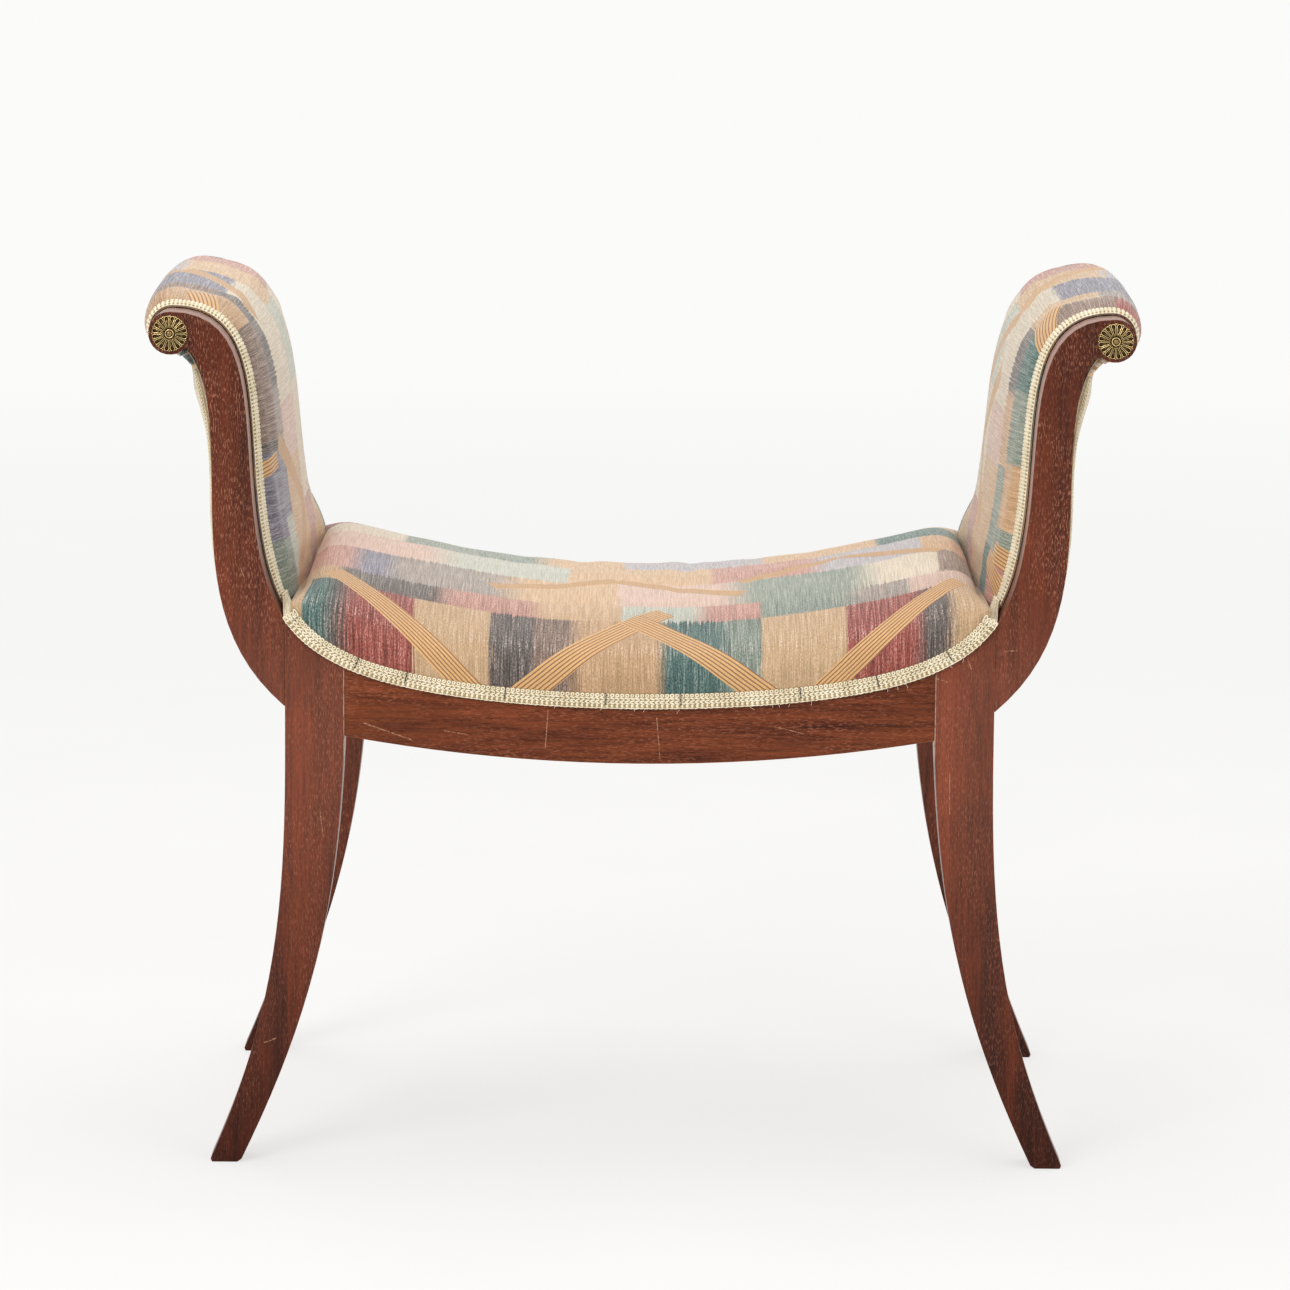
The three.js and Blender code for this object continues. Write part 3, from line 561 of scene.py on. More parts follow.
# Each arm has its own front and top values: painted light and shade for how the lamps fall on that side
arm_fabric = {
    "left": fabric_material("left_arm_fabric", [
        (-122, 0, "55 green, 75 lavender, 10 slate, 92 taupe, 60 sand, 45 ochre, 60 teal"),
        (-96, -10, "80 pale_teal, 50 lavender, 60 grey, 80 slate, 50 taupe, 80 pale_rose"),
    ] + arm_rows, [
        (118, -158, 80, 60, 14), (262, -160, 74, 60, 22),
    ] + chevrons((70, -20, 34, 120, 18), (190, 90, 34, -120, 18), (290, -10, 34, 100, 16)), front=0.735, top=0.91),
    "right": fabric_material("right_arm_fabric", [
        (-128, 0, "40 rose, 30 green, 55 sand, 60 green, 55 teal, 50 taupe, 30 crimson, 80 slate"),
        (-98, -10, "60 teal, 70 green, 60 sand, 50 slate, 50 tan, 90 grey"),
    ] + arm_rows, [
        (45, -158, 82, 50, 18), (24, -150, 60, 70, 18), (232, -152, 70, 70, 22),
    ] + chevrons((120, 60, 34, 120, 18), (230, -20, 34, -120, 18)), front=0.92, top=0.84),
}
outside_fabric = fabric_material("outside_fabric", [
    (-80, 0, "60 cream, 70 tan, 60 cream, 32 green 12, 60 cream, 70 tan"),
    (60, -10, "90 tan, 60 rose, 100 cream, 100 pale_lavender"),
    (300, 0, "70 cream, 80 grey, 80 tan, 80 cream"),
], chevrons((60, -105, 52, 150, 18), (200, 60, 52, -150, 18)), front=1.0, top=0.95)
tuck_fabric = {
    side: fabric_material("tucked_fabric_" + side, [(300, -12, blocks)], [(6.8, 0, 90, 500, 1.6)])
    for side, blocks in (("left", "6 green, 2 cream, 4 teal, 2 slate, 5 teal, 2 cream, 5 teal"),
                         ("right", "6 tan, 2 sand, 4 cream, 3 ochre, 5 cream, 6 tan"))
}


# Wood: red-brown mahogany with fine pale pores, edges painted lighter, a painted reflection on upward faces, and a few
# scratches

# Height, how light the wood is made there (darkest by the floor, lightest at 0.33 to 0.41 m, darker again higher up),
# share of its pores that show, and share of a pale pinkish colour mixed over it
HEIGHT_TONE = [(0.0, 0.52, 0.35, 0.0), (0.09, 0.75, 0.35, 0.02), (0.2, 1.04, 0.32, 0.06), (0.33, 1.42, 0.2, 0.12),
               (0.41, 1.38, 0.24, 0.12), (0.48, 1.08, 0.5, 0.05), (0.62, 0.82, 0.95, 0.03), (0.74, 0.62, 0.9, 0.01)]


def wood_material(name, grain, dark, light, pore, rough, scratches=(), worn=0.0, toned=False):
    """grain is the axis along which the wood grows. Scratches have their two ends, x and z, and their width, in mm.
    toned gives it the tones by height, a painted reflection on the uprights' upward, seat-facing faces and a light
    line along the legs' inner edges that is partly wear and partly painted highlight, and worn lightens the whole."""
    n = Nodes(name)
    place = n.place()
    x, y, z = n.split(place)

    def along(share, *noise):
        """Noise that is drawn out along the grain."""
        drawn = tuple(share if axis == grain else 1.0 for axis in "xyz")
        return n.noise(n.vector("MULTIPLY", place, drawn), *noise)

    figure = along(0.07, 48, 4, 0.6, 0.5)
    fine = along(0.05, 520, 3, 0.65)
    between = tuple((a + b) / 2 for a, b in zip(dark, light))
    colour = n.ramp(fine * 0.5 + figure * 0.55, [(0.38, dark), (0.52, between), (0.66, light)])
    pores = n.fit(along(0.17, 1280, 2, 0.55), 0.545, 0.61) * n.fit(along(0.35, 34, 3, 0.6), 0.38, 0.60, 0.22, 0.95)
    shown = 0.6
    if toned:
        heights = [(height / 0.8, (tone / 2, pored, pale_mix, 1.0)) for height, tone, pored, pale_mix in HEIGHT_TONE]
        tone, shown, pale_mix = n.split(n.ramp(z * 1.25, heights))
    pores = pores * shown
    colour = n.mix(pores, colour, pore)
    slits = n.fit(along(0.14, 1250, 1.5, 0.5), 0.40, 0.30, 0.0, 0.55)
    colour = n.mix(slits, colour, tuple(c * 0.3 for c in dark[:3]) + (1.0,))
    if toned:
        colour = n.toned(colour, tone * 2.0)
        colour = n.mix(pale_mix, colour, linear(176, 132, 116))
        # Painted reflection: faces of the uprights above 0.47 m that turn up and toward the seat are painted pinkish
        # grey, the bright surroundings mirrored in the polish
        nx, ny, nz = n.split(n.get("ShaderNodeNewGeometry", output="True Normal"))
        toward_seat = nz - nx * n.math("SIGN", x)
        wear_and_reflection = n.fit(abs(ny), 0.5, 0.1) * n.fit(toward_seat, 0.2, 0.6) * n.fit(z, 0.47, 0.56, 0.0, 0.42)
        colour = n.mix(wear_and_reflection, colour, linear(208, 172, 158))
        # A light line along the legs' inner edges: partly wear, partly a painted highlight
        worn_highlit_line = n.math("COMPARE", abs(x), RAIL_HALF + 0.3 * MM, 0.5 * MM)
        worn_highlit_line = worn_highlit_line * n.fit(n.noise(place, 160, 3, 0.7), 0.40, 0.55, 0.1, 0.7)
        colour = n.mix(worn_highlit_line, colour, linear(206, 172, 146))
    marks, face = 0.0, n.join(x, z)
    for scratch in scratches:
        x0, z0, x1, z1, width = (value * MM for value in scratch)
        line, _ = n.patch(face, ((x0 + x1) / 2, (z0 + z1) / 2), math.atan2(z1 - z0, x1 - x0),
                          math.hypot(x1 - x0, z1 - z0), width)
        marks = n.math("MAXIMUM", marks, line)
    if scratches:
        marks = marks * n.math("LESS_THAN", y, 0.0) * n.fit(n.noise(place, 700, 3, 0.7), 0.42, 0.60)
        colour = n.mix(marks * 0.75, colour, linear(206, 158, 124))
    if worn:
        colour = n.mix(n.fit(n.noise(place, 90, 4, 0.7), 0.40, 0.66, 0.1 * worn, worn), colour, linear(190, 128, 90))
    relief = n.bump(fine * 0.25 - slits, 0.12 * MM, 0.5)
    shine = n.fit(pores + slits, 0.0, 1.0, rough, rough + 0.25)
    return n.surface(Base_Color=colour, Roughness=shine, Normal=relief, Specular_IOR_Level=0.16)


def jute_material(name, thread, light, dark):
    """Plain weave of coarse jute."""
    n = Nodes(name)
    place = n.place()
    x, y, _ = n.split(place)
    drift = n.noise(place, 40, 2) * 6.0
    warp, weft = (n.math("SINE", axis * (math.tau / thread) + drift) for axis in (x, y))
    weave = warp * weft
    hair = n.noise(place, 900, 3, 0.7)
    colour = n.ramp(weave * 0.22 + hair * 0.5 + n.noise(place, 18, 2) * 0.4, [(0.15, dark), (0.6, light)])
    return n.surface(Base_Color=colour, Roughness=0.92, Normal=n.bump(weave * 0.6 + hair * 0.5, 0.5 * MM, 0.8))


DARK_WOOD = linear(50, 15, 4)
LIGHT_WOOD = linear(112, 46, 20)
PORE = linear(184, 124, 98)
BEECH_PORE = linear(150, 106, 70)
mahogany = {
    "z": wood_material("mahogany_upright", "z", DARK_WOOD, LIGHT_WOOD, PORE, 0.3, toned=True, scratches=[
        (-308.5, 102, -298.5, 106, 1.0), (297, 436, 308, 437, 0.9), (268, 428, 271, 421, 0.9),
        (264, 436, 266, 431, 0.8), (240, 414, 252, 410, 0.7), (-262, 300, -259, 276, 0.6),
        (254.5, 335, 255.2, 300, 0.6), (-326, 500, -323, 492, 0.8),
    ]),
    "x": wood_material("mahogany_rail", "x", linear(62, 24, 11), linear(130, 64, 33), linear(158, 96, 70), 0.3, scratches=[
        (-226, 372, -186, 358, 1.0), (-75, 384, -77, 352, 0.8), (14, 380, 17, 344, 0.7),
        (-160, 366, -140, 363, 0.6), (110, 372, 135, 366, 0.6),
    ]),
    "y": wood_material("mahogany_side", "y", DARK_WOOD, LIGHT_WOOD, PORE, 0.35),
}
# Rounded edges painted lighter than the wood: partly rubbed wear, partly a painted edge highlight
worn_highlit_edge = wood_material("mahogany_worn_edge", "z", linear(96, 46, 28), linear(150, 96, 70), PORE, 0.26, worn=0.7)
beech = {
    axis: wood_material("beech_" + axis, axis, linear(166, 124, 82), linear(200, 162, 120), BEECH_PORE, 0.6)
    for axis in "yz"
}
beech_edge = wood_material("beech_edge", "z", linear(180, 140, 98), linear(206, 172, 132), BEECH_PORE, 0.6)
webbing = jute_material("jute_webbing", 2.6 * MM, linear(196, 164, 118), linear(110, 84, 54))
hessian = jute_material("jute_hessian", 1.9 * MM, linear(184, 152, 108), linear(96, 72, 46))


def shading_group():
    """Nodes that smooth a modifier's result and keep its corners sharp."""
    tree = bpy.data.node_groups.new("wood_shading", "GeometryNodeTree")
    for way in ("INPUT", "OUTPUT"):
        tree.interface.new_socket("Geometry", in_out=way, socket_type="NodeSocketGeometry")
    n = Nodes(tree=tree)
    bare = n.get("GeometryNodeRemoveAttribute", {"Geometry": n.get("NodeGroupInput"), "Name": "custom_normal"})
    soft = n.get("GeometryNodeSetShadeSmooth", {"Geometry": bare})
    angle = n.get("GeometryNodeInputMeshEdgeAngle", output="Unsigned Angle")
    wide = n.get("FunctionNodeCompare", {"A": angle, "B": math.radians(32)}, "Result", operation="GREATER_THAN")
    sharp = n.get("GeometryNodeSetShadeSmooth", {"Geometry": soft, "Selection": wide, "Shade Smooth": False},
                  domain="EDGE")
    n.node("NodeGroupOutput", {0: sharp})
    return tree


shading = shading_group()


def finish_wood(piece, material, edge, width):
    """Rounds the edges of a wooden CAD node and gives it its wood; the rounded edge has its own."""
    dress(piece, material, edge)
    put_in(piece.modifiers.new("weld", "WELD"), merge_threshold=0.02 * MM)
    put_in(piece.modifiers.new("edge", "BEVEL"), width=width * MM, segments=2, limit_method="ANGLE",
           angle_limit=math.radians(38), material=1)
    put_in(piece.modifiers.new("shading", "NODES"), node_group=shading)


FINISHES = {
    "sabre_leg": (mahogany["z"], worn_highlit_edge, 0.8), "scroll_stile": (mahogany["z"], worn_highlit_edge, 0.8),
    "joint_dowel": (beech["z"], beech_edge, 0.4), "corner_block": (beech["z"], beech_edge, 0.8),
    "seat_rail": (mahogany["x"], worn_highlit_edge, 0.8), "side_rail": (mahogany["y"], worn_highlit_edge, 0.8),
    "scroll_rail": (beech["y"], beech_edge, 0.6), "arm_tacking_rail": (beech["y"], beech_edge, 0.8),
}
for name, node in nodes.items():
    for kind, finish in FINISHES.items():
        if name.startswith(kind):
            finish_wood(node, *finish)
    if name.startswith(("cross_strap", "long_strap")):
        dress(node, webbing)
    if "hessian" in name:
        dress(node, hessian)


# Seat cushion

crest_middle = offset(seat_middle, 0, 75)
crest_shoulder = offset(rail_end, 3.4, 74.7)
cushion_end = offset(rail_end, 36.9, 47.7)
crest = Line(
    bend(crest_middle, crest_shoulder, (0.45, 0), (0.78, 0.66)),
    bend(crest_shoulder, cushion_end, (0.7, -0.13), (1, 0.2)),
)

# Half a section from the trimming to the middle: share of the depth, share of the rise, and way from the row before
SECTION = [(1.0075, 0, 9), (1.02, 0.2, 8), (1.014, 0.365, 12), (0.975, 0.52, 12), (0.92, 0.62, 17), (0.84, 0.72, 33),
           (0.68, 0.82, 53), (0.42, 0.93, 84), (0, 1, 0)]

# Hollows of the cover: place along the seat, lean toward the rear, width, and depth in mm
FOLDS = [
    (-0.066, 0.10, 0.014, 3.6), (-0.036, 0.02, 0.012, -1.2), (0.022, 0.04, 0.009, -1.8), (0.036, 0.06, 0.007, 4.2),
    (0.062, -0.02, 0.008, 1.8), (0.084, -0.10, 0.009, 2.0), (0.112, -0.12, 0.011, 2.2), (0.150, -0.04, 0.010, 1.2),
    (-0.110, 0.05, 0.010, 1.6), (-0.150, -0.05, 0.016, 1.4), (0.205, 0.08, 0.016, 1.2), (-0.210, 0.06, 0.014, 1.2),
]


def hessian_top(x):
    """Height of the hessian that the cushion lies on, read from its mesh."""
    points = positions(nodes["seat_hessian"].data)
    order = np.argsort(points[:, 0])
    xs, zs = points[order, 0], points[order, 2]
    places = np.unique(np.round(xs, 5))
    tops = [zs[np.abs(xs - place) < 2e-5].max() for place in places]
    return np.interp(x, places, tops)


def seat_grid(stations, across):
    """Points of the top of the cushion: along the crest, and from the front trimming over to the rear one."""
    marks = np.linspace(-crest.length, crest.length, stations)
    spots = crest.spot(np.abs(marks))
    x = spots[:, 0] * np.sign(marks)
    slope = seat_line.way(seat_line.mark_at_x(np.abs(x) + CORNER_REACH * 0.5))[:, 0]
    beyond = np.clip(np.abs(x) - RAIL_HALF, 0, None) / (cushion_end[0] - RAIL_HALF)
    shift = np.sign(x) * CORNER_REACH * beyond
    base = np.interp(np.abs(x + shift), seat_line.points[:, 0], seat_line.points[:, 1])
    shoulder = base + GIMP_WIDTH / slope + SHOULDER_STEP
    top = np.maximum(spots[:, 1] - shoulder, SHOULDER_STEP)
    shares, rises, steps = np.array(SECTION).T
    depth = np.concatenate([shares[:1], shares])
    z = np.concatenate([(base + SHOULDER_STEP)[:, None], shoulder[:, None] + top[:, None] * rises], axis=1)
    knots = np.concatenate([[0], np.cumsum(np.concatenate([[20.0], steps[:-1]]))])
    fine = np.linspace(0, knots[-1], 170)
    half_depth = smooth(np.interp(fine, knots, depth), 0, 14)
    half_z = smooth(np.stack([np.interp(fine, knots, row) for row in z]), 1, 14)
    picks = np.linspace(0, knots[-1], across // 2 + 1)
    half_depth = np.interp(picks, fine, half_depth) * HALF_DEPTH
    half_z = np.stack([np.interp(picks, fine, row) for row in half_z])
    y = np.concatenate([-half_depth, half_depth[-2::-1]])
    z = np.concatenate([half_z, half_z[:, -2::-1]], axis=1)
    near_edge = np.clip((np.abs(y) / HALF_DEPTH - 0.82) / 0.18, 0, 1)
    return xyz(x[:, None] + shift[:, None] * near_edge, y, z), marks


def fold_drop(x, y):
    """How far the cover lies below its plain form, in folds that run from front to rear."""
    taut = np.sqrt(np.clip(1 - np.abs(y) / (0.97 * HALF_DEPTH), 0, 1))
    rear = np.clip(0.5 + y / HALF_DEPTH, 0, 1.2)
    drop = 0.6 * MM * np.sin(x * 47 + y * 9) * taut
    for at, lean, width, depth in FOLDS:
        drop += 0.55 * depth * MM * np.exp(-((x - at - lean * y) / width) ** 2) * taut * (0.35 + rear)
    return drop


def make_seat():
    outer, marks = seat_grid(150, 96)
    outer[..., 2] -= fold_drop(outer[..., 0], outer[..., 1])
    rows, columns = outer.shape[:2]
    edge = HALF_DEPTH + GAP
    floor = hessian_top(outer[:, 0, 0]) + GAP
    inner = outer[:, [0, 5, 30, 48, 66, columns - 6, columns - 1]].copy()
    inner[:, :2, 1], inner[:, -2:, 1] = -edge, edge
    inner[:, 1:-1, 2] = np.minimum(floor[:, None], inner[:, 1:-1, 2] - COVER)
    across = lengths(outer, 1)
    uv = np.stack([np.broadcast_to(marks[:, None], across.shape), across - across[:, [columns // 2]]], axis=-1)
    piece = closed_cover("seat_cushion", outer, inner, uv, ("seat_cover", "seat_stuffing"))
    puff(piece, (rows, columns), 3, 3.0, 3 * MM)
    make_finer(piece)
    dress(piece, seat_fabric)


make_seat()


# Arm pads and the outside covers

wrap = np.array([on_scroll(angle, SCROLL_RADIUS) for angle in np.linspace(math.pi / 2, PAD_WRAP, 60)])
arm_start = Line(corner_curve)
first = arm_start.mark_at_x(LEG_OUTER + 2 * MM)
arm_line = Line(arm_start.spot(np.linspace(first, arm_start.length, 30)), arm_curve, wrap)
cover_waist = offset(waist, 3.5, 0)
cover_top = on_scroll(PAD_WRAP - COVER / SCROLL_RADIUS, SCROLL_RADIUS + COVER_STANDOFF)
outside_line = Line(
    bend(offset(notch, 2.5, 8), cover_waist, (0.9, 0.26), (1, 0.64)),
    bend(cover_waist, cover_top, (0, 0.2), (0.02, 0.81)),
)

# Loft of a pad by the share of its way up the arm, and by the share of the way from its middle to its border
LOFT = [(0, 0.45), (0.1, 1.0), (0.25, 0.96), (0.46, 0.87), (0.56, 0.81), (0.62, 0.76), (0.68, 0.64), (0.75, 0.5),
        (0.82, 0.52), (0.9, 0.41), (1, 0.28)]
CROSS = [(0, 1), (0.45, 0.92), (0.75, 0.7), (0.86, 0.48), (0.93, 0.15), (1, 0)]


def pad_height(share, y):
    """Height of an arm pad over the wood. It swells low at the rear, where the seat cushion pushes it up."""
    out = np.abs(y) / PAD_EDGE
    cross = np.interp(out, *np.array(CROSS).T)
    rear = np.clip((np.asarray(y) / PAD_EDGE - 0.5) / 0.3, 0, 1) * np.clip((0.985 - out) / 0.1, 0, 1)
    swell = REAR_SWELL * rear * np.exp(-((share - 0.04) / 0.085) ** 2)
    border = 0.9 * MM * np.clip((out - 0.93) / 0.07, 0, 1)
    return COVER + 2 * GAP + PAD_LOFT * curve_through(LOFT, share) * cross + swell - border


def over_arm(s, y, height, sign):
    """A point at length s on the arm's inner edge, at depth y and at a height over the wood."""
    return in_space(sign, arm_line.beside(s, height), y)


def make_pad(side):
    sign = SIDES[side]
    rows, columns = 84, 74
    t = np.linspace(-1, 1, columns)
    y = PAD_EDGE * np.sign(t) * (1 - (1 - np.abs(t)) ** 1.35)
    grid_s, grid_y = np.meshgrid(np.linspace(0, arm_line.length, rows), y, indexing="ij")
    height = smooth(pad_height(grid_s / arm_line.length, grid_y), 1, 2)
    from_edge = PAD_EDGE - np.abs(grid_y)
    pucker = 0.5 * MM * np.sin(grid_s * math.tau / PUCKER_PITCH + 2.2 * np.sin(grid_s * 61 + grid_y * 20))
    height += pucker * np.exp(-((from_edge - 18 * MM) / (10 * MM)) ** 2)
    outer = over_arm(grid_s, grid_y, height, sign)
    picks = [0, 12, 37, 61, columns - 1]
    inner = over_arm(grid_s[:, picks], grid_y[:, picks], 0, sign)
    across = lengths(outer, 1)
    centre = (across[:, [columns // 2]] + across[:, [columns // 2 - 1]]) / 2
    grids = turned_over((outer, inner, np.stack([grid_s, across - centre], axis=-1)), sign < 0)
    piece = closed_cover(f"arm_pad_{side}", *grids, (f"arm_cover_inside_{side}", f"arm_stuffing_{side}"))
    puff(piece, (rows, columns), 2, 2.5, 2.5 * MM)
    make_finer(piece)
    dress(piece, arm_fabric[side])


def outside_bulge(s, y):
    """How far an outside cover stands off its straight lie."""
    share = s / outside_line.length
    inside = 1 - np.clip(np.abs(y) / COVER_EDGE, 0, 1) ** 13
    inside = inside * np.exp(-((share - 0.90) / 0.13) ** 2) * np.clip((1 - share) / 0.11, 0, 1)
    border = np.clip((np.abs(y) - COVER_EDGE) / (14 * MM) + 1, 0, 1) ** 2
    return inside * (9.0 + 0.8 * np.sin(y * 23 + s * 31)) * MM - 3.2 * MM * border


def make_outside(side):
    sign = SIDES[side]
    s = np.linspace(0, outside_line.length, 70)
    y = np.linspace(-COVER_EDGE, COVER_EDGE, 62)
    grid_s, grid_y = np.meshgrid(s, y, indexing="ij")
    bulge = outside_bulge(grid_s, grid_y)
    outer, inner = (in_space(sign, outside_line.beside(grid_s, -bulge - lift), grid_y) for lift in (COVER, 0))
    grids = turned_over((outer, inner, np.stack([grid_s, grid_y], axis=-1)), sign > 0)
    piece = closed_cover(f"arm_outside_{side}", *grids, (f"arm_cover_outside_{side}",))
    dress(piece, outside_fabric)


for side in SIDES:
    make_pad(side)
    make_outside(side)


# Braid: a tape with two twisted cords in its middle and a row of loops on each border

def braid_finish(name, dark, plain, light):
    n = Nodes(name)
    place = n.place()
    fibre = n.noise(place, 1500, 3, 0.7)
    colour = n.ramp(fibre * 0.6 + n.noise(place, 60, 2) * 0.5, [(0.3, dark), (0.55, plain), (0.8, light)])
    return n.surface(Base_Color=colour, Roughness=0.8, Normal=n.bump(fibre, 0.2 * MM, 0.6), Sheen_Weight=0.2,
                     Sheen_Roughness=0.5)


braid_yarn = braid_finish("braid_yarn", linear(212, 196, 158), linear(246, 236, 208), linear(255, 250, 234))
# The tape shows only in the gaps between the yarns; its dark khaki is painted shade in those gaps
braid_tape_shade = braid_finish("braid_tape_shade", linear(132, 108, 72), linear(174, 150, 108), linear(206, 184, 142))


def grain_form(sides=6, rings=4):
    """A grain of twisted yarn: a closed rounded rod of length and thickness 1."""
    turn = math.pi * np.arange(1, rings)[:, None] / rings
    angle = math.tau * np.arange(sides) / sides
    body = xyz(-np.cos(turn), np.sin(turn) * np.cos(angle), np.sin(turn) * np.sin(angle)) / 2
    points = np.vstack([body.reshape(-1, 3), [(-0.5, 0, 0), (0.5, 0, 0)]])
    first, last = len(points) - 2, len(points) - 1
    faces = ring_faces(rings - 1, sides)[:-2]
    for k in range(sides):
        follow = (k + 1) % sides
        faces += [(first, follow, k), (last, first - sides + k, first - sides + follow)]
    return points, faces


def loop_form(turns=9, sides=5, thick=0.17):
    """A loop of yarn: a ring of outer width 1 in the plane of the tape."""
    angle = math.tau * np.arange(turns)[:, None] / turns
    around = math.tau * np.arange(sides) / sides
    radius = 0.5 - thick + thick * np.cos(around)
    points = xyz(radius * np.cos(angle), radius * np.sin(angle), thick * np.sin(around)).reshape(-1, 3)
    faces = []
    for i in range(turns):
        a, b = i * sides, (i + 1) % turns * sides
        faces += [(a + k, b + k, b + (k + 1) % sides, a + (k + 1) % sides) for k in range(sides)]
    return points, faces


def braid(name, length, place, replaced, width=GIMP_WIDTH, thick=GIMP_THICKNESS, pitch=GIMP_PITCH, seed=1, plain=False):
    """place(s, v, h) gives points at length s, at v across the tape from its middle, and at height h over its back."""
    rng = np.random.default_rng(seed)
    count = max(4, int(round(length / pitch)))
    step = length / count
    s = (np.arange(count) + 0.5) * step
    grain, loop, shape = grain_form(), loop_form(), Shape()
    samples = np.linspace(0, length, 2 * count + 1)
    edge = np.array([-0.47, -0.4, 0.4, 0.47]) * width
    for rises, turn in (((0.1, 0.3, 0.3, 0.1), 1), ((0.02, 0.02, 0.02, 0.02), -1)):
        tape = np.stack([place(samples, v, rise * thick) for v, rise in zip(edge, rises)], axis=1)
        shape.add(tape, grid_faces(len(samples), len(edge))[:, ::turn])
    tape_faces = len(shape.faces)
    cord = (grain, 0.55, (1.22 * step, 0.125 * width, 0.95 * thick))
    rows = [
        (0.355, loop, 0.42, (0.9 * step, 0.27 * width, 1.1 * thick), 0),
        (0.165, *cord, -0.3), (0, *cord, 0.34), (-0.13, *cord, -0.3),
        (-0.30, grain, 0.45, (0.24 * width, 0.62 * step, 0.8 * thick), math.pi / 2),
        (-0.455, grain, 0.4, (1.25 * step, 0.085 * width, 0.7 * thick), 0.12),
    ]
    if plain:
        rows = [(0.3, *cord, -0.3), (0, *cord, 0.34), (-0.3, *cord, -0.3)]
    for share, form, rise, size, lean in rows:
        v, h = share * width, rise * thick
        origin = place(s, v, h)
        along = unit(place(s + TICK, v, h) - place(s - TICK, v, h))
        across = unit(place(s, v + TICK, h) - place(s, v - TICK, h))
        out = np.cross(along, across)
        out *= np.sign(np.sum(out * (place(s, v, h + TICK) - origin), axis=-1, keepdims=True))
        turn = (lean + rng.normal(0, 0.07, count))[:, None]
        scale = 1 + rng.normal(0, 0.05, (count, 1))
        first = (along * np.cos(turn) + across * np.sin(turn)) * size[0] * scale
        second = (across * np.cos(turn) - along * np.sin(turn)) * size[1] * scale
        shape.scatter(form, np.stack([first, second, out * size[2]], axis=-1), origin)
    piece = new_object(name, shape, replaced)
    dress(piece, braid_yarn, braid_tape_shade)
    material_numbers = [1] * tape_faces + [0] * (len(shape.faces) - tape_faces)
    piece.data.polygons.foreach_set("material_index", material_numbers)


def seat_gimp_place(facing):
    def place(s, v, h):
        mark = np.asarray(s) - gimp_end
        flat = seat_line.beside(np.abs(mark), np.asarray(v) + GIMP_WIDTH / 2)
        return in_space(np.sign(mark), flat, facing * (GIMP_FACE + h))
    return place


def arm_gimp_place(sign, facing):
    def place(s, v, h):
        y = facing * (PAD_EDGE - GIMP_WIDTH / 2 - np.asarray(v))
        share = np.clip(np.asarray(s) / arm_line.length, 0, 1)
        return over_arm(np.asarray(s), y, pad_height(share, y) + GAP + h, sign)
    return place


def outside_gimp_place(sign, facing):
    def place(s, v, h):
        mark = np.clip(np.asarray(s), 0, outside_line.length)
        y = facing * (COVER_EDGE - OUTSIDE_GIMP / 2 + np.asarray(v))
        lift = COVER + outside_bulge(mark, y) + GAP + h
        return in_space(sign, outside_line.beside(mark, -lift), y)
    return place


def tail_place(sign, facing):
    """From the end of the seat braid round the corner on to the arm braid, and the length of that way."""
    on_seat = seat_gimp_place(facing)
    on_arm = arm_gimp_place(sign, facing)
    begin = gimp_end * (1 + sign)

    def blend(s, v, h):
        share = np.clip((s - TAIL_LAP / 2) / (TAIL_LENGTH - TAIL_LAP), 0, 1)
        share = (share * share * (3 - 2 * share))[..., None]
        first = on_seat(begin + sign * (s - TAIL_LAP), v, h + GIMP_THICKNESS * 0.9)
        last = on_arm(np.clip(s - TAIL_LAP, 0, None), v, h + GIMP_THICKNESS * 1.1)
        return first * (1 - share) + last * share

    steps = np.linspace(0, TAIL_LENGTH, 60)
    marks = lengths(blend(steps, 0.0, 0.0), 0)
    return lambda s, v, h: blend(np.interp(s, marks, steps), v, h), marks[-1]


for number, (end, facing) in enumerate(ENDS.items()):
    for side, sign in SIDES.items():
        braid(f"outside_braid_{end}_{side}", outside_line.length - TUCK_LENGTH, outside_gimp_place(sign, facing), (),
              OUTSIDE_GIMP, OUTSIDE_THICKNESS, OUTSIDE_PITCH, seed=31 + 2 * number + (sign > 0), plain=True)
    braid(f"seat_braid_{end}", 2 * gimp_end, seat_gimp_place(facing), (f"seat_gimp_{end}",), seed=11 + number)
    for side, sign in SIDES.items():
        braid(f"arm_braid_{end}_{side}", arm_line.length, arm_gimp_place(sign, facing), (f"arm_gimp_{end}_{side}",),
              pitch=ARM_PITCH, seed=21 + 2 * number + (sign > 0))


# Cloth tucked away under the scrolls, the open ends of the seat braid, and loose threads

# Rolls of cloth: place from the scroll in mm, way of the flat side, and half the width and thickness in mm
TUCKS = [((-9.0, -18.8), (-0.89, 0.45), 6.5, 2.4), ((-13.9, -24.0), (-0.74, -0.67), 9.0, 4.0)]


def tube(name, paths, radius, material, sides=6):
    """One piece of several thin closed rods, each along its own path of points."""
    shape = Shape()
    turn = np.arange(sides)[:, None] * math.tau / sides
    for path in paths:
        way = unit(np.gradient(path, axis=0))
        helper = (0.12, 0.31, 0.94) if abs(way[0][2]) < 0.8 else (0.97, 0.2, 0.1)
        side_way = unit(np.cross(way, helper))
        up_way = np.cross(way, side_way)
        rings = np.cos(turn) * side_way[:, None] + np.sin(turn) * up_way[:, None]
        shape.add(path[:, None] + radius * rings, ring_faces(len(path), sides))
    dress(new_object(name, shape), material)


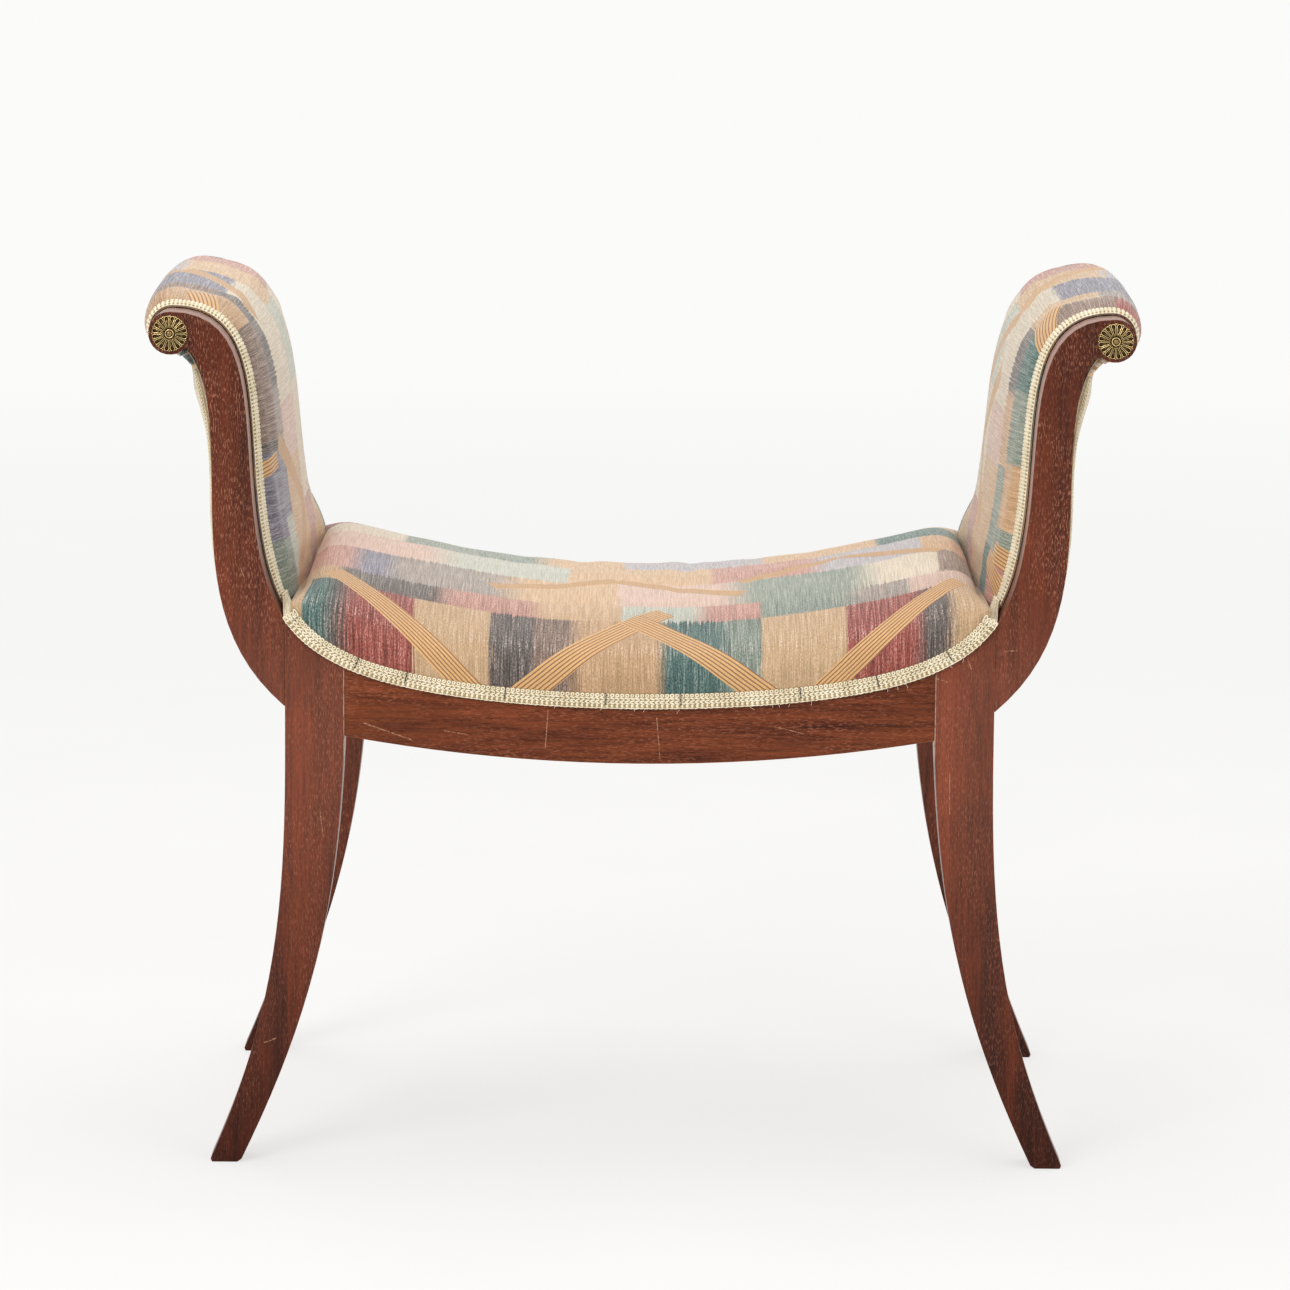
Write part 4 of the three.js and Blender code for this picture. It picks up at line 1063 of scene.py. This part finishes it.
def make_tuck(side):
    """Two flat rolls of gathered cloth in the corner between scroll and stile."""
    sign = SIDES[side]
    columns, around = 64, 24
    share = np.linspace(-1, 1, columns)[:, None]
    y = (COVER_EDGE - 0.2 * MM) * np.sign(share) * (1 - (1 - np.abs(share)) ** 1.5)
    ends = np.sqrt(np.clip(1 - np.clip((np.abs(y) - COVER_EDGE + 3 * MM) / (3.05 * MM), 0, 1) ** 2, 0, 1))
    turn = np.arange(around) * math.tau / around
    ripple = 1 + 0.10 * np.sin(turn * 5 + y * 60)
    shape, cloth = Shape(), []
    for at, way, half_wide, half_thick in TUCKS:
        wide = np.cos(turn) * half_wide * MM * (0.35 + 0.65 * ends) * ripple
        thick = np.sin(turn) * half_thick * MM * ends * ripple
        flat = SCROLL + np.array(at) * MM + wide[..., None] * way + thick[..., None] * (-way[1], way[0])
        shape.add(in_space(sign, flat, y), ring_faces(columns, around, -sign))
        cloth.append(np.stack([wide + 0.4 * thick, np.broadcast_to(y, wide.shape)], axis=-1).reshape(-1, 2))
    piece = new_object(f"arm_tuck_{side}", shape, uv=np.vstack(cloth))
    dress(piece, tuck_fabric[side])


def braid_end_loops(place, mark, outward):
    """Paths of the yarns that stick out of a cut end of the seat braid."""
    paths = []
    angle = math.pi * np.linspace(0, 1, 13)
    for number, middle_share in enumerate((-0.34, -0.12, 0.12, 0.34)):
        reach = (4.2 + 0.9 * (number % 2)) * MM
        s = mark + outward * (reach * np.sin(angle) ** 0.8 - 1.0 * MM)
        v = middle_share * GIMP_WIDTH - 1.25 * MM * np.cos(angle) + 0.8 * MM * np.sin(angle) * (number - 1.5) / 1.5
        paths.append(place(s, v, GIMP_THICKNESS * (0.55 + 0.25 * np.sin(angle))))
    return paths


def loose_threads(place, seed):
    """Fine threads that hang from the lower border of the seat braid and stand off its upper one."""
    rng = np.random.default_rng(seed)
    paths = []
    step = np.linspace(0, 1, 7)
    for _ in range(26):
        start_s = rng.uniform(0.02, 0.98) * 2 * gimp_end
        low_one = rng.random() < 0.7
        length = rng.uniform(1.6, 4.2) * MM
        lean, curl = rng.uniform(-1, 1), rng.uniform(-1, 1)
        s = start_s + length * (lean * step + curl * step * step * 0.6)
        v = (-0.5 if low_one else 0.46) * GIMP_WIDTH + (-1 if low_one else 0.5) * length * step
        paths.append(place(s, v, GIMP_THICKNESS * (0.4 + 0.5 * np.sin(3 * step))))
    return paths


for side in SIDES:
    make_tuck(side)
for number, (end, facing) in enumerate(ENDS.items()):
    for side, sign in SIDES.items():
        way, way_length = tail_place(sign, facing)
        braid(f"braid_tail_{end}_{side}", way_length, way, (), pitch=ARM_PITCH, seed=41 + 2 * number + (sign > 0))
for number, (end, facing) in enumerate(ENDS.items()):
    place = seat_gimp_place(facing)
    loops = braid_end_loops(place, 0.0, -1) + braid_end_loops(place, 2 * gimp_end, 1)
    tube(f"braid_ends_{end}", loops, 0.62 * MM, braid_yarn)
    tube(f"loose_threads_{end}", loose_threads(place, 5 + number), 0.14 * MM, braid_yarn, sides=4)


# Rosettes: pressed petals with raised rims round a ringed middle

PETALS = 16
SPOKES = PETALS * 12
PIN_SHARE = 0.15
RADII = np.concatenate([[0.012, 0.05, 0.09, 0.12, 0.14, 0.149, 0.152], np.linspace(0.16, 0.36, 9),
                        np.linspace(0.38, 0.9, 22), np.linspace(0.915, 0.97, 6), [0.985, 1.0, 1.0]])


def make_brass():
    n = Nodes("darkened_brass")
    ridge = n.get("ShaderNodeNewGeometry", output="Pointiness")
    spots = n.noise(n.place(), 700, 3, 0.6)
    wear_and_reflection = spots * 0.35 + n.fit(ridge, 0.47, 0.56) * 0.85
    colour = n.ramp(wear_and_reflection, [(0.2, linear(34, 24, 12)), (0.55, linear(96, 71, 38)), (0.98, linear(222, 194, 136))])
    rough = n.fit(wear_and_reflection, 0.2, 0.9, 0.45, 0.16)
    return n.surface(Base_Color=colour, Metallic=0.9, Roughness=rough, Normal=n.bump(spots, 0.08 * MM, 0.4))


brass = make_brass()


def rosette_height(radius, angle):
    """Height of the pressed brass, as a share of the rosette's radius, at a share of the radius and an angle."""
    turn = (angle * PETALS / math.tau) % 1.0 - 0.5
    half_width = radius * math.pi / PETALS
    off = np.abs(turn) * 2 * half_width
    length = np.clip((radius - 0.30) / 0.68, 0, 1)
    tip = np.sqrt(np.clip(1 - np.clip((length - 0.74) / 0.26, 0, 1) ** 2, 0, 1))
    inside = half_width * tip - off
    petal = (radius > 0.30) * (radius < 0.985)
    rim = np.exp(-((inside - 0.042) / 0.026) ** 2) * petal
    hollow = np.clip((inside - 0.04) / 0.05, 0, 1) * petal
    rib = np.exp(-(off / 0.020) ** 2) * np.clip((length - 0.05) / 0.2, 0, 1) * np.clip((0.72 - length) / 0.2, 0, 1)
    gap_turn = ((angle * PETALS / math.tau + 0.5) % 1.0 - 0.5) * math.tau / PETALS * radius
    bead = np.exp(-((gap_turn / 0.038) ** 2 + ((radius - 0.945) / 0.04) ** 2))
    dome = 0.15 + 0.11 * np.cos(np.clip(radius, 0, 1) * math.pi / 2)
    ring = np.exp(-((radius - 0.22) / 0.035) ** 2)
    dish = -0.05 * np.exp(-((radius - 0.31) / 0.04) ** 2)
    pin = 0.10 * np.sqrt(np.clip(1 - (radius / PIN_SHARE) ** 2, 0, 1)) + 0.01 * (radius < PIN_SHARE)
    fall = np.clip((1 - radius) / 0.03, 0, 1)
    return (dome + 0.075 * rim - 0.06 * hollow + 0.04 * rib + 0.055 * bead + 0.05 * ring + dish + pin) * fall


def make_rosette(end, side):
    facing = ENDS[end]
    radius, angle = np.meshgrid(RADII, np.arange(SPOKES) * math.tau / SPOKES, indexing="ij")
    height = rosette_height(radius, angle)
    height[-1] = 0
    scallop = 1 + 0.012 * np.cos(angle * PETALS)
    out = radius * ROSETTE_RADIUS * scallop / scallop.max()
    points = xyz(SIDES[side] * SCROLL[0] + out * np.sin(angle), facing * (ROSETTE_BACK + height * ROSETTE_RADIUS),
                 SCROLL[1] + out * np.cos(angle))
    shape = Shape()
    shape.add(points, ring_faces(len(RADII), SPOKES, -facing))
    replaced = (f"scroll_rosette_{end}_{side}", f"rosette_pin_{end}_{side}")
    dress(new_object(f"rosette_{end}_{side}", shape, replaced), brass)


for end, side in CORNERS:
    make_rosette(end, side)


# Staples that hold the seat braid, and the screws of the corner blocks

# A staple from foot to foot: shares of its reach across the braid and of the braid's thickness
STAPLE = np.array([(-1.0, 0.3), (-0.97, 1.04), (-0.9, 1.3), (0, 1.365), (0.9, 1.3), (0.97, 1.04), (1.0, 0.3)])
STAPLE_REACH = 4.4 * MM
STAPLE_RISE = 1.6 * MM
STAPLE_PLACES = (0.115, 0.185, 0.32, 0.455, 0.555, 0.715, 0.82, 0.925)

# A screw head from its rim to its middle: share of the radius, and height
SCREW_HEAD = np.array([(1, -0.2), (1, 0.10), (0.92, 0.30), (0.7, 0.46), (0.4, 0.56), (0.1, 0.6)])


def make_steel():
    n = Nodes("dull_steel")
    grime = n.noise(n.place(), 500, 3, 0.6)
    colour = n.ramp(grime, [(0.3, linear(40, 37, 34)), (0.7, linear(92, 88, 84))])
    return n.surface(Base_Color=colour, Metallic=0.85, Roughness=n.fit(grime, 0.3, 0.7, 0.35, 0.6),
                     Normal=n.bump(grime, 0.05 * MM, 0.4))


steel = make_steel()


def staple_path(place, s):
    share, height = STAPLE.T
    return place(np.full(len(share), s), STAPLE_REACH * share + STAPLE_RISE, GIMP_THICKNESS * height)


def screw_rings(at, way, turn):
    """A low rounded screw head with a slot, as rings of points from its rim to its middle."""
    helper = unit(np.cross(way, (0, 0, 1.0)))
    second = np.cross(way, helper)
    share, height = SCREW_HEAD.T[..., None, None]
    angle = (np.arange(SCREW_SIDES) * math.tau / SCREW_SIDES)[:, None]
    sunk = np.where((np.abs(np.sin(angle - turn)) * share < 0.16) & (height > 0.2), 0.34, 0.0)
    out = share * (np.cos(angle) * helper + np.sin(angle) * second)
    return at + SCREW_RADIUS * (out + (height - sunk) * 0.8 * way)


def make_screws(end, side):
    """Two screws in the slanting face of a corner block, found on its mesh."""
    mesh = nodes[f"corner_block_{end}_{side}"].data
    slant = max((face for face in mesh.polygons if min(abs(face.normal.x), abs(face.normal.y)) > 0.3),
                key=lambda face: face.area)
    way = unit(np.array([slant.normal.x, slant.normal.y, 0.0]))
    corners = np.array([mesh.vertices[i].co for face in mesh.polygons
                        if face.normal.dot(slant.normal) > 0.99 for i in face.vertices])
    lowest, highest = corners.min(axis=0), corners.max(axis=0)
    shape = Shape()
    for number, shift in enumerate((-0.22, 0.22)):
        at = (lowest + highest) / 2 + np.array([0, 0, shift * (highest[2] - lowest[2])])
        rings = screw_rings(at, way, 0.5 + 1.1 * number + SIDES[side] * 0.3)
        shape.add(rings, ring_faces(len(rings), SCREW_SIDES))
    dress(new_object(f"block_screws_{end}_{side}", shape), steel)


for end, facing in ENDS.items():
    place = seat_gimp_place(facing)
    paths = [staple_path(place, 2 * gimp_end * share) for share in STAPLE_PLACES]
    tube(f"seat_staples_{end}", paths, 0.4 * MM, steel)
for end, side in CORNERS:
    make_screws(end, side)


# Floor, light and camera

STUDIO_WHITE = linear(251, 251, 250)
FLOOR_HALF = 60.0
CAMERA_PLACE = (0.007255, -4.50709, 1.20320)
CAMERA_YAW, CAMERA_PITCH, CAMERA_ROLL = -0.000764, 0.17561, 0.0085185
CAMERA_LENS = 149.54


def make_floor():
    n = Nodes("studio_floor")
    place = n.place()
    tone = n.ramp(n.noise(place, 2.2, 4, 0.6), [(0.3, linear(243, 242, 239)), (0.7, linear(250, 249, 247))])
    lit = n.get("ShaderNodeBsdfDiffuse", {"Color": tone})
    glow = n.get("ShaderNodeEmission", {"Color": STUDIO_WHITE, "Strength": 1.0})
    share = n.plainly_seen() * n.fit(n.vector("LENGTH", place), 0.8, 5.0, 0.66, 1.0)
    n.node("ShaderNodeOutputMaterial", {"Surface": n.get("ShaderNodeMixShader", {0: share, 1: lit, 2: glow})})
    corners = [(x * FLOOR_HALF, y * FLOOR_HALF, 0) for x, y in ((-1, -1), (1, -1), (1, 1), (-1, 1))]
    mesh = bpy.data.meshes.new("studio_floor")
    mesh.from_pydata(corners, [], [(0, 1, 2, 3)])
    floor = bpy.data.objects.new("studio_floor", mesh)
    bpy.context.scene.collection.objects.link(floor)
    dress(floor, n.material)


def make_world():
    world = bpy.data.worlds.new("studio")
    bpy.context.scene.world = world
    world.use_nodes = True
    n = Nodes(tree=world.node_tree)
    soft = n.get("ShaderNodeBackground", {"Color": (1.0, 0.99, 0.975, 1.0), "Strength": 0.62})
    white = n.get("ShaderNodeBackground", {"Color": STUDIO_WHITE})
    n.node("ShaderNodeOutputWorld", {"Surface": n.get("ShaderNodeMixShader", {0: n.plainly_seen(), 1: soft, 2: white})})


def set_up(name, data, place, *axes):
    """Puts a lamp or camera in its place, with its three axes."""
    thing = bpy.data.objects.new(name, data)
    bpy.context.scene.collection.objects.link(thing)
    rows = [[*row, at] for row, at in zip(np.stack(axes, axis=1), place)]
    thing.matrix_world = Matrix(rows + [[0, 0, 0, 1]])
    return thing


def make_lamp(name, place, target, size, power):
    light = bpy.data.lights.new(name, "AREA")
    put_in(light, shape="RECTANGLE", size=size[0], size_y=size[1], energy=power)
    back = unit(np.array(place, float) - np.array(target, float))
    right = unit(np.cross((0, 0, 1), back))
    set_up(name, light, place, right, np.cross(back, right), back)


def make_camera():
    level = np.array([math.sin(CAMERA_YAW), math.cos(CAMERA_YAW), 0]) * math.cos(CAMERA_PITCH)
    ahead = level - np.array([0, 0, math.sin(CAMERA_PITCH)])
    right = unit(np.cross(ahead, (0, 0, 1)))
    up = np.cross(right, ahead)
    cos, sin = math.cos(CAMERA_ROLL), math.sin(CAMERA_ROLL)
    data = bpy.data.cameras.new("camera")
    put_in(data, sensor_width=36, lens=CAMERA_LENS, clip_start=0.1, clip_end=200)
    camera = set_up("camera", data, CAMERA_PLACE, cos * right + sin * up, cos * up - sin * right, -ahead)
    bpy.context.scene.camera = camera


make_floor()
make_world()
make_lamp("key", (-1.7, -2.6, 2.5), (0, 0, 0.4), (1.6, 1.6), 48)
make_lamp("fill", (2.4, -2.4, 1.6), (0, 0, 0.4), (2.0, 2.0), 18)
make_lamp("top", (0.0, 0.6, 2.8), (0, 0, 0.3), (2.4, 2.0), 26)
make_camera()
bpy.context.scene.view_settings.view_transform = "Standard"
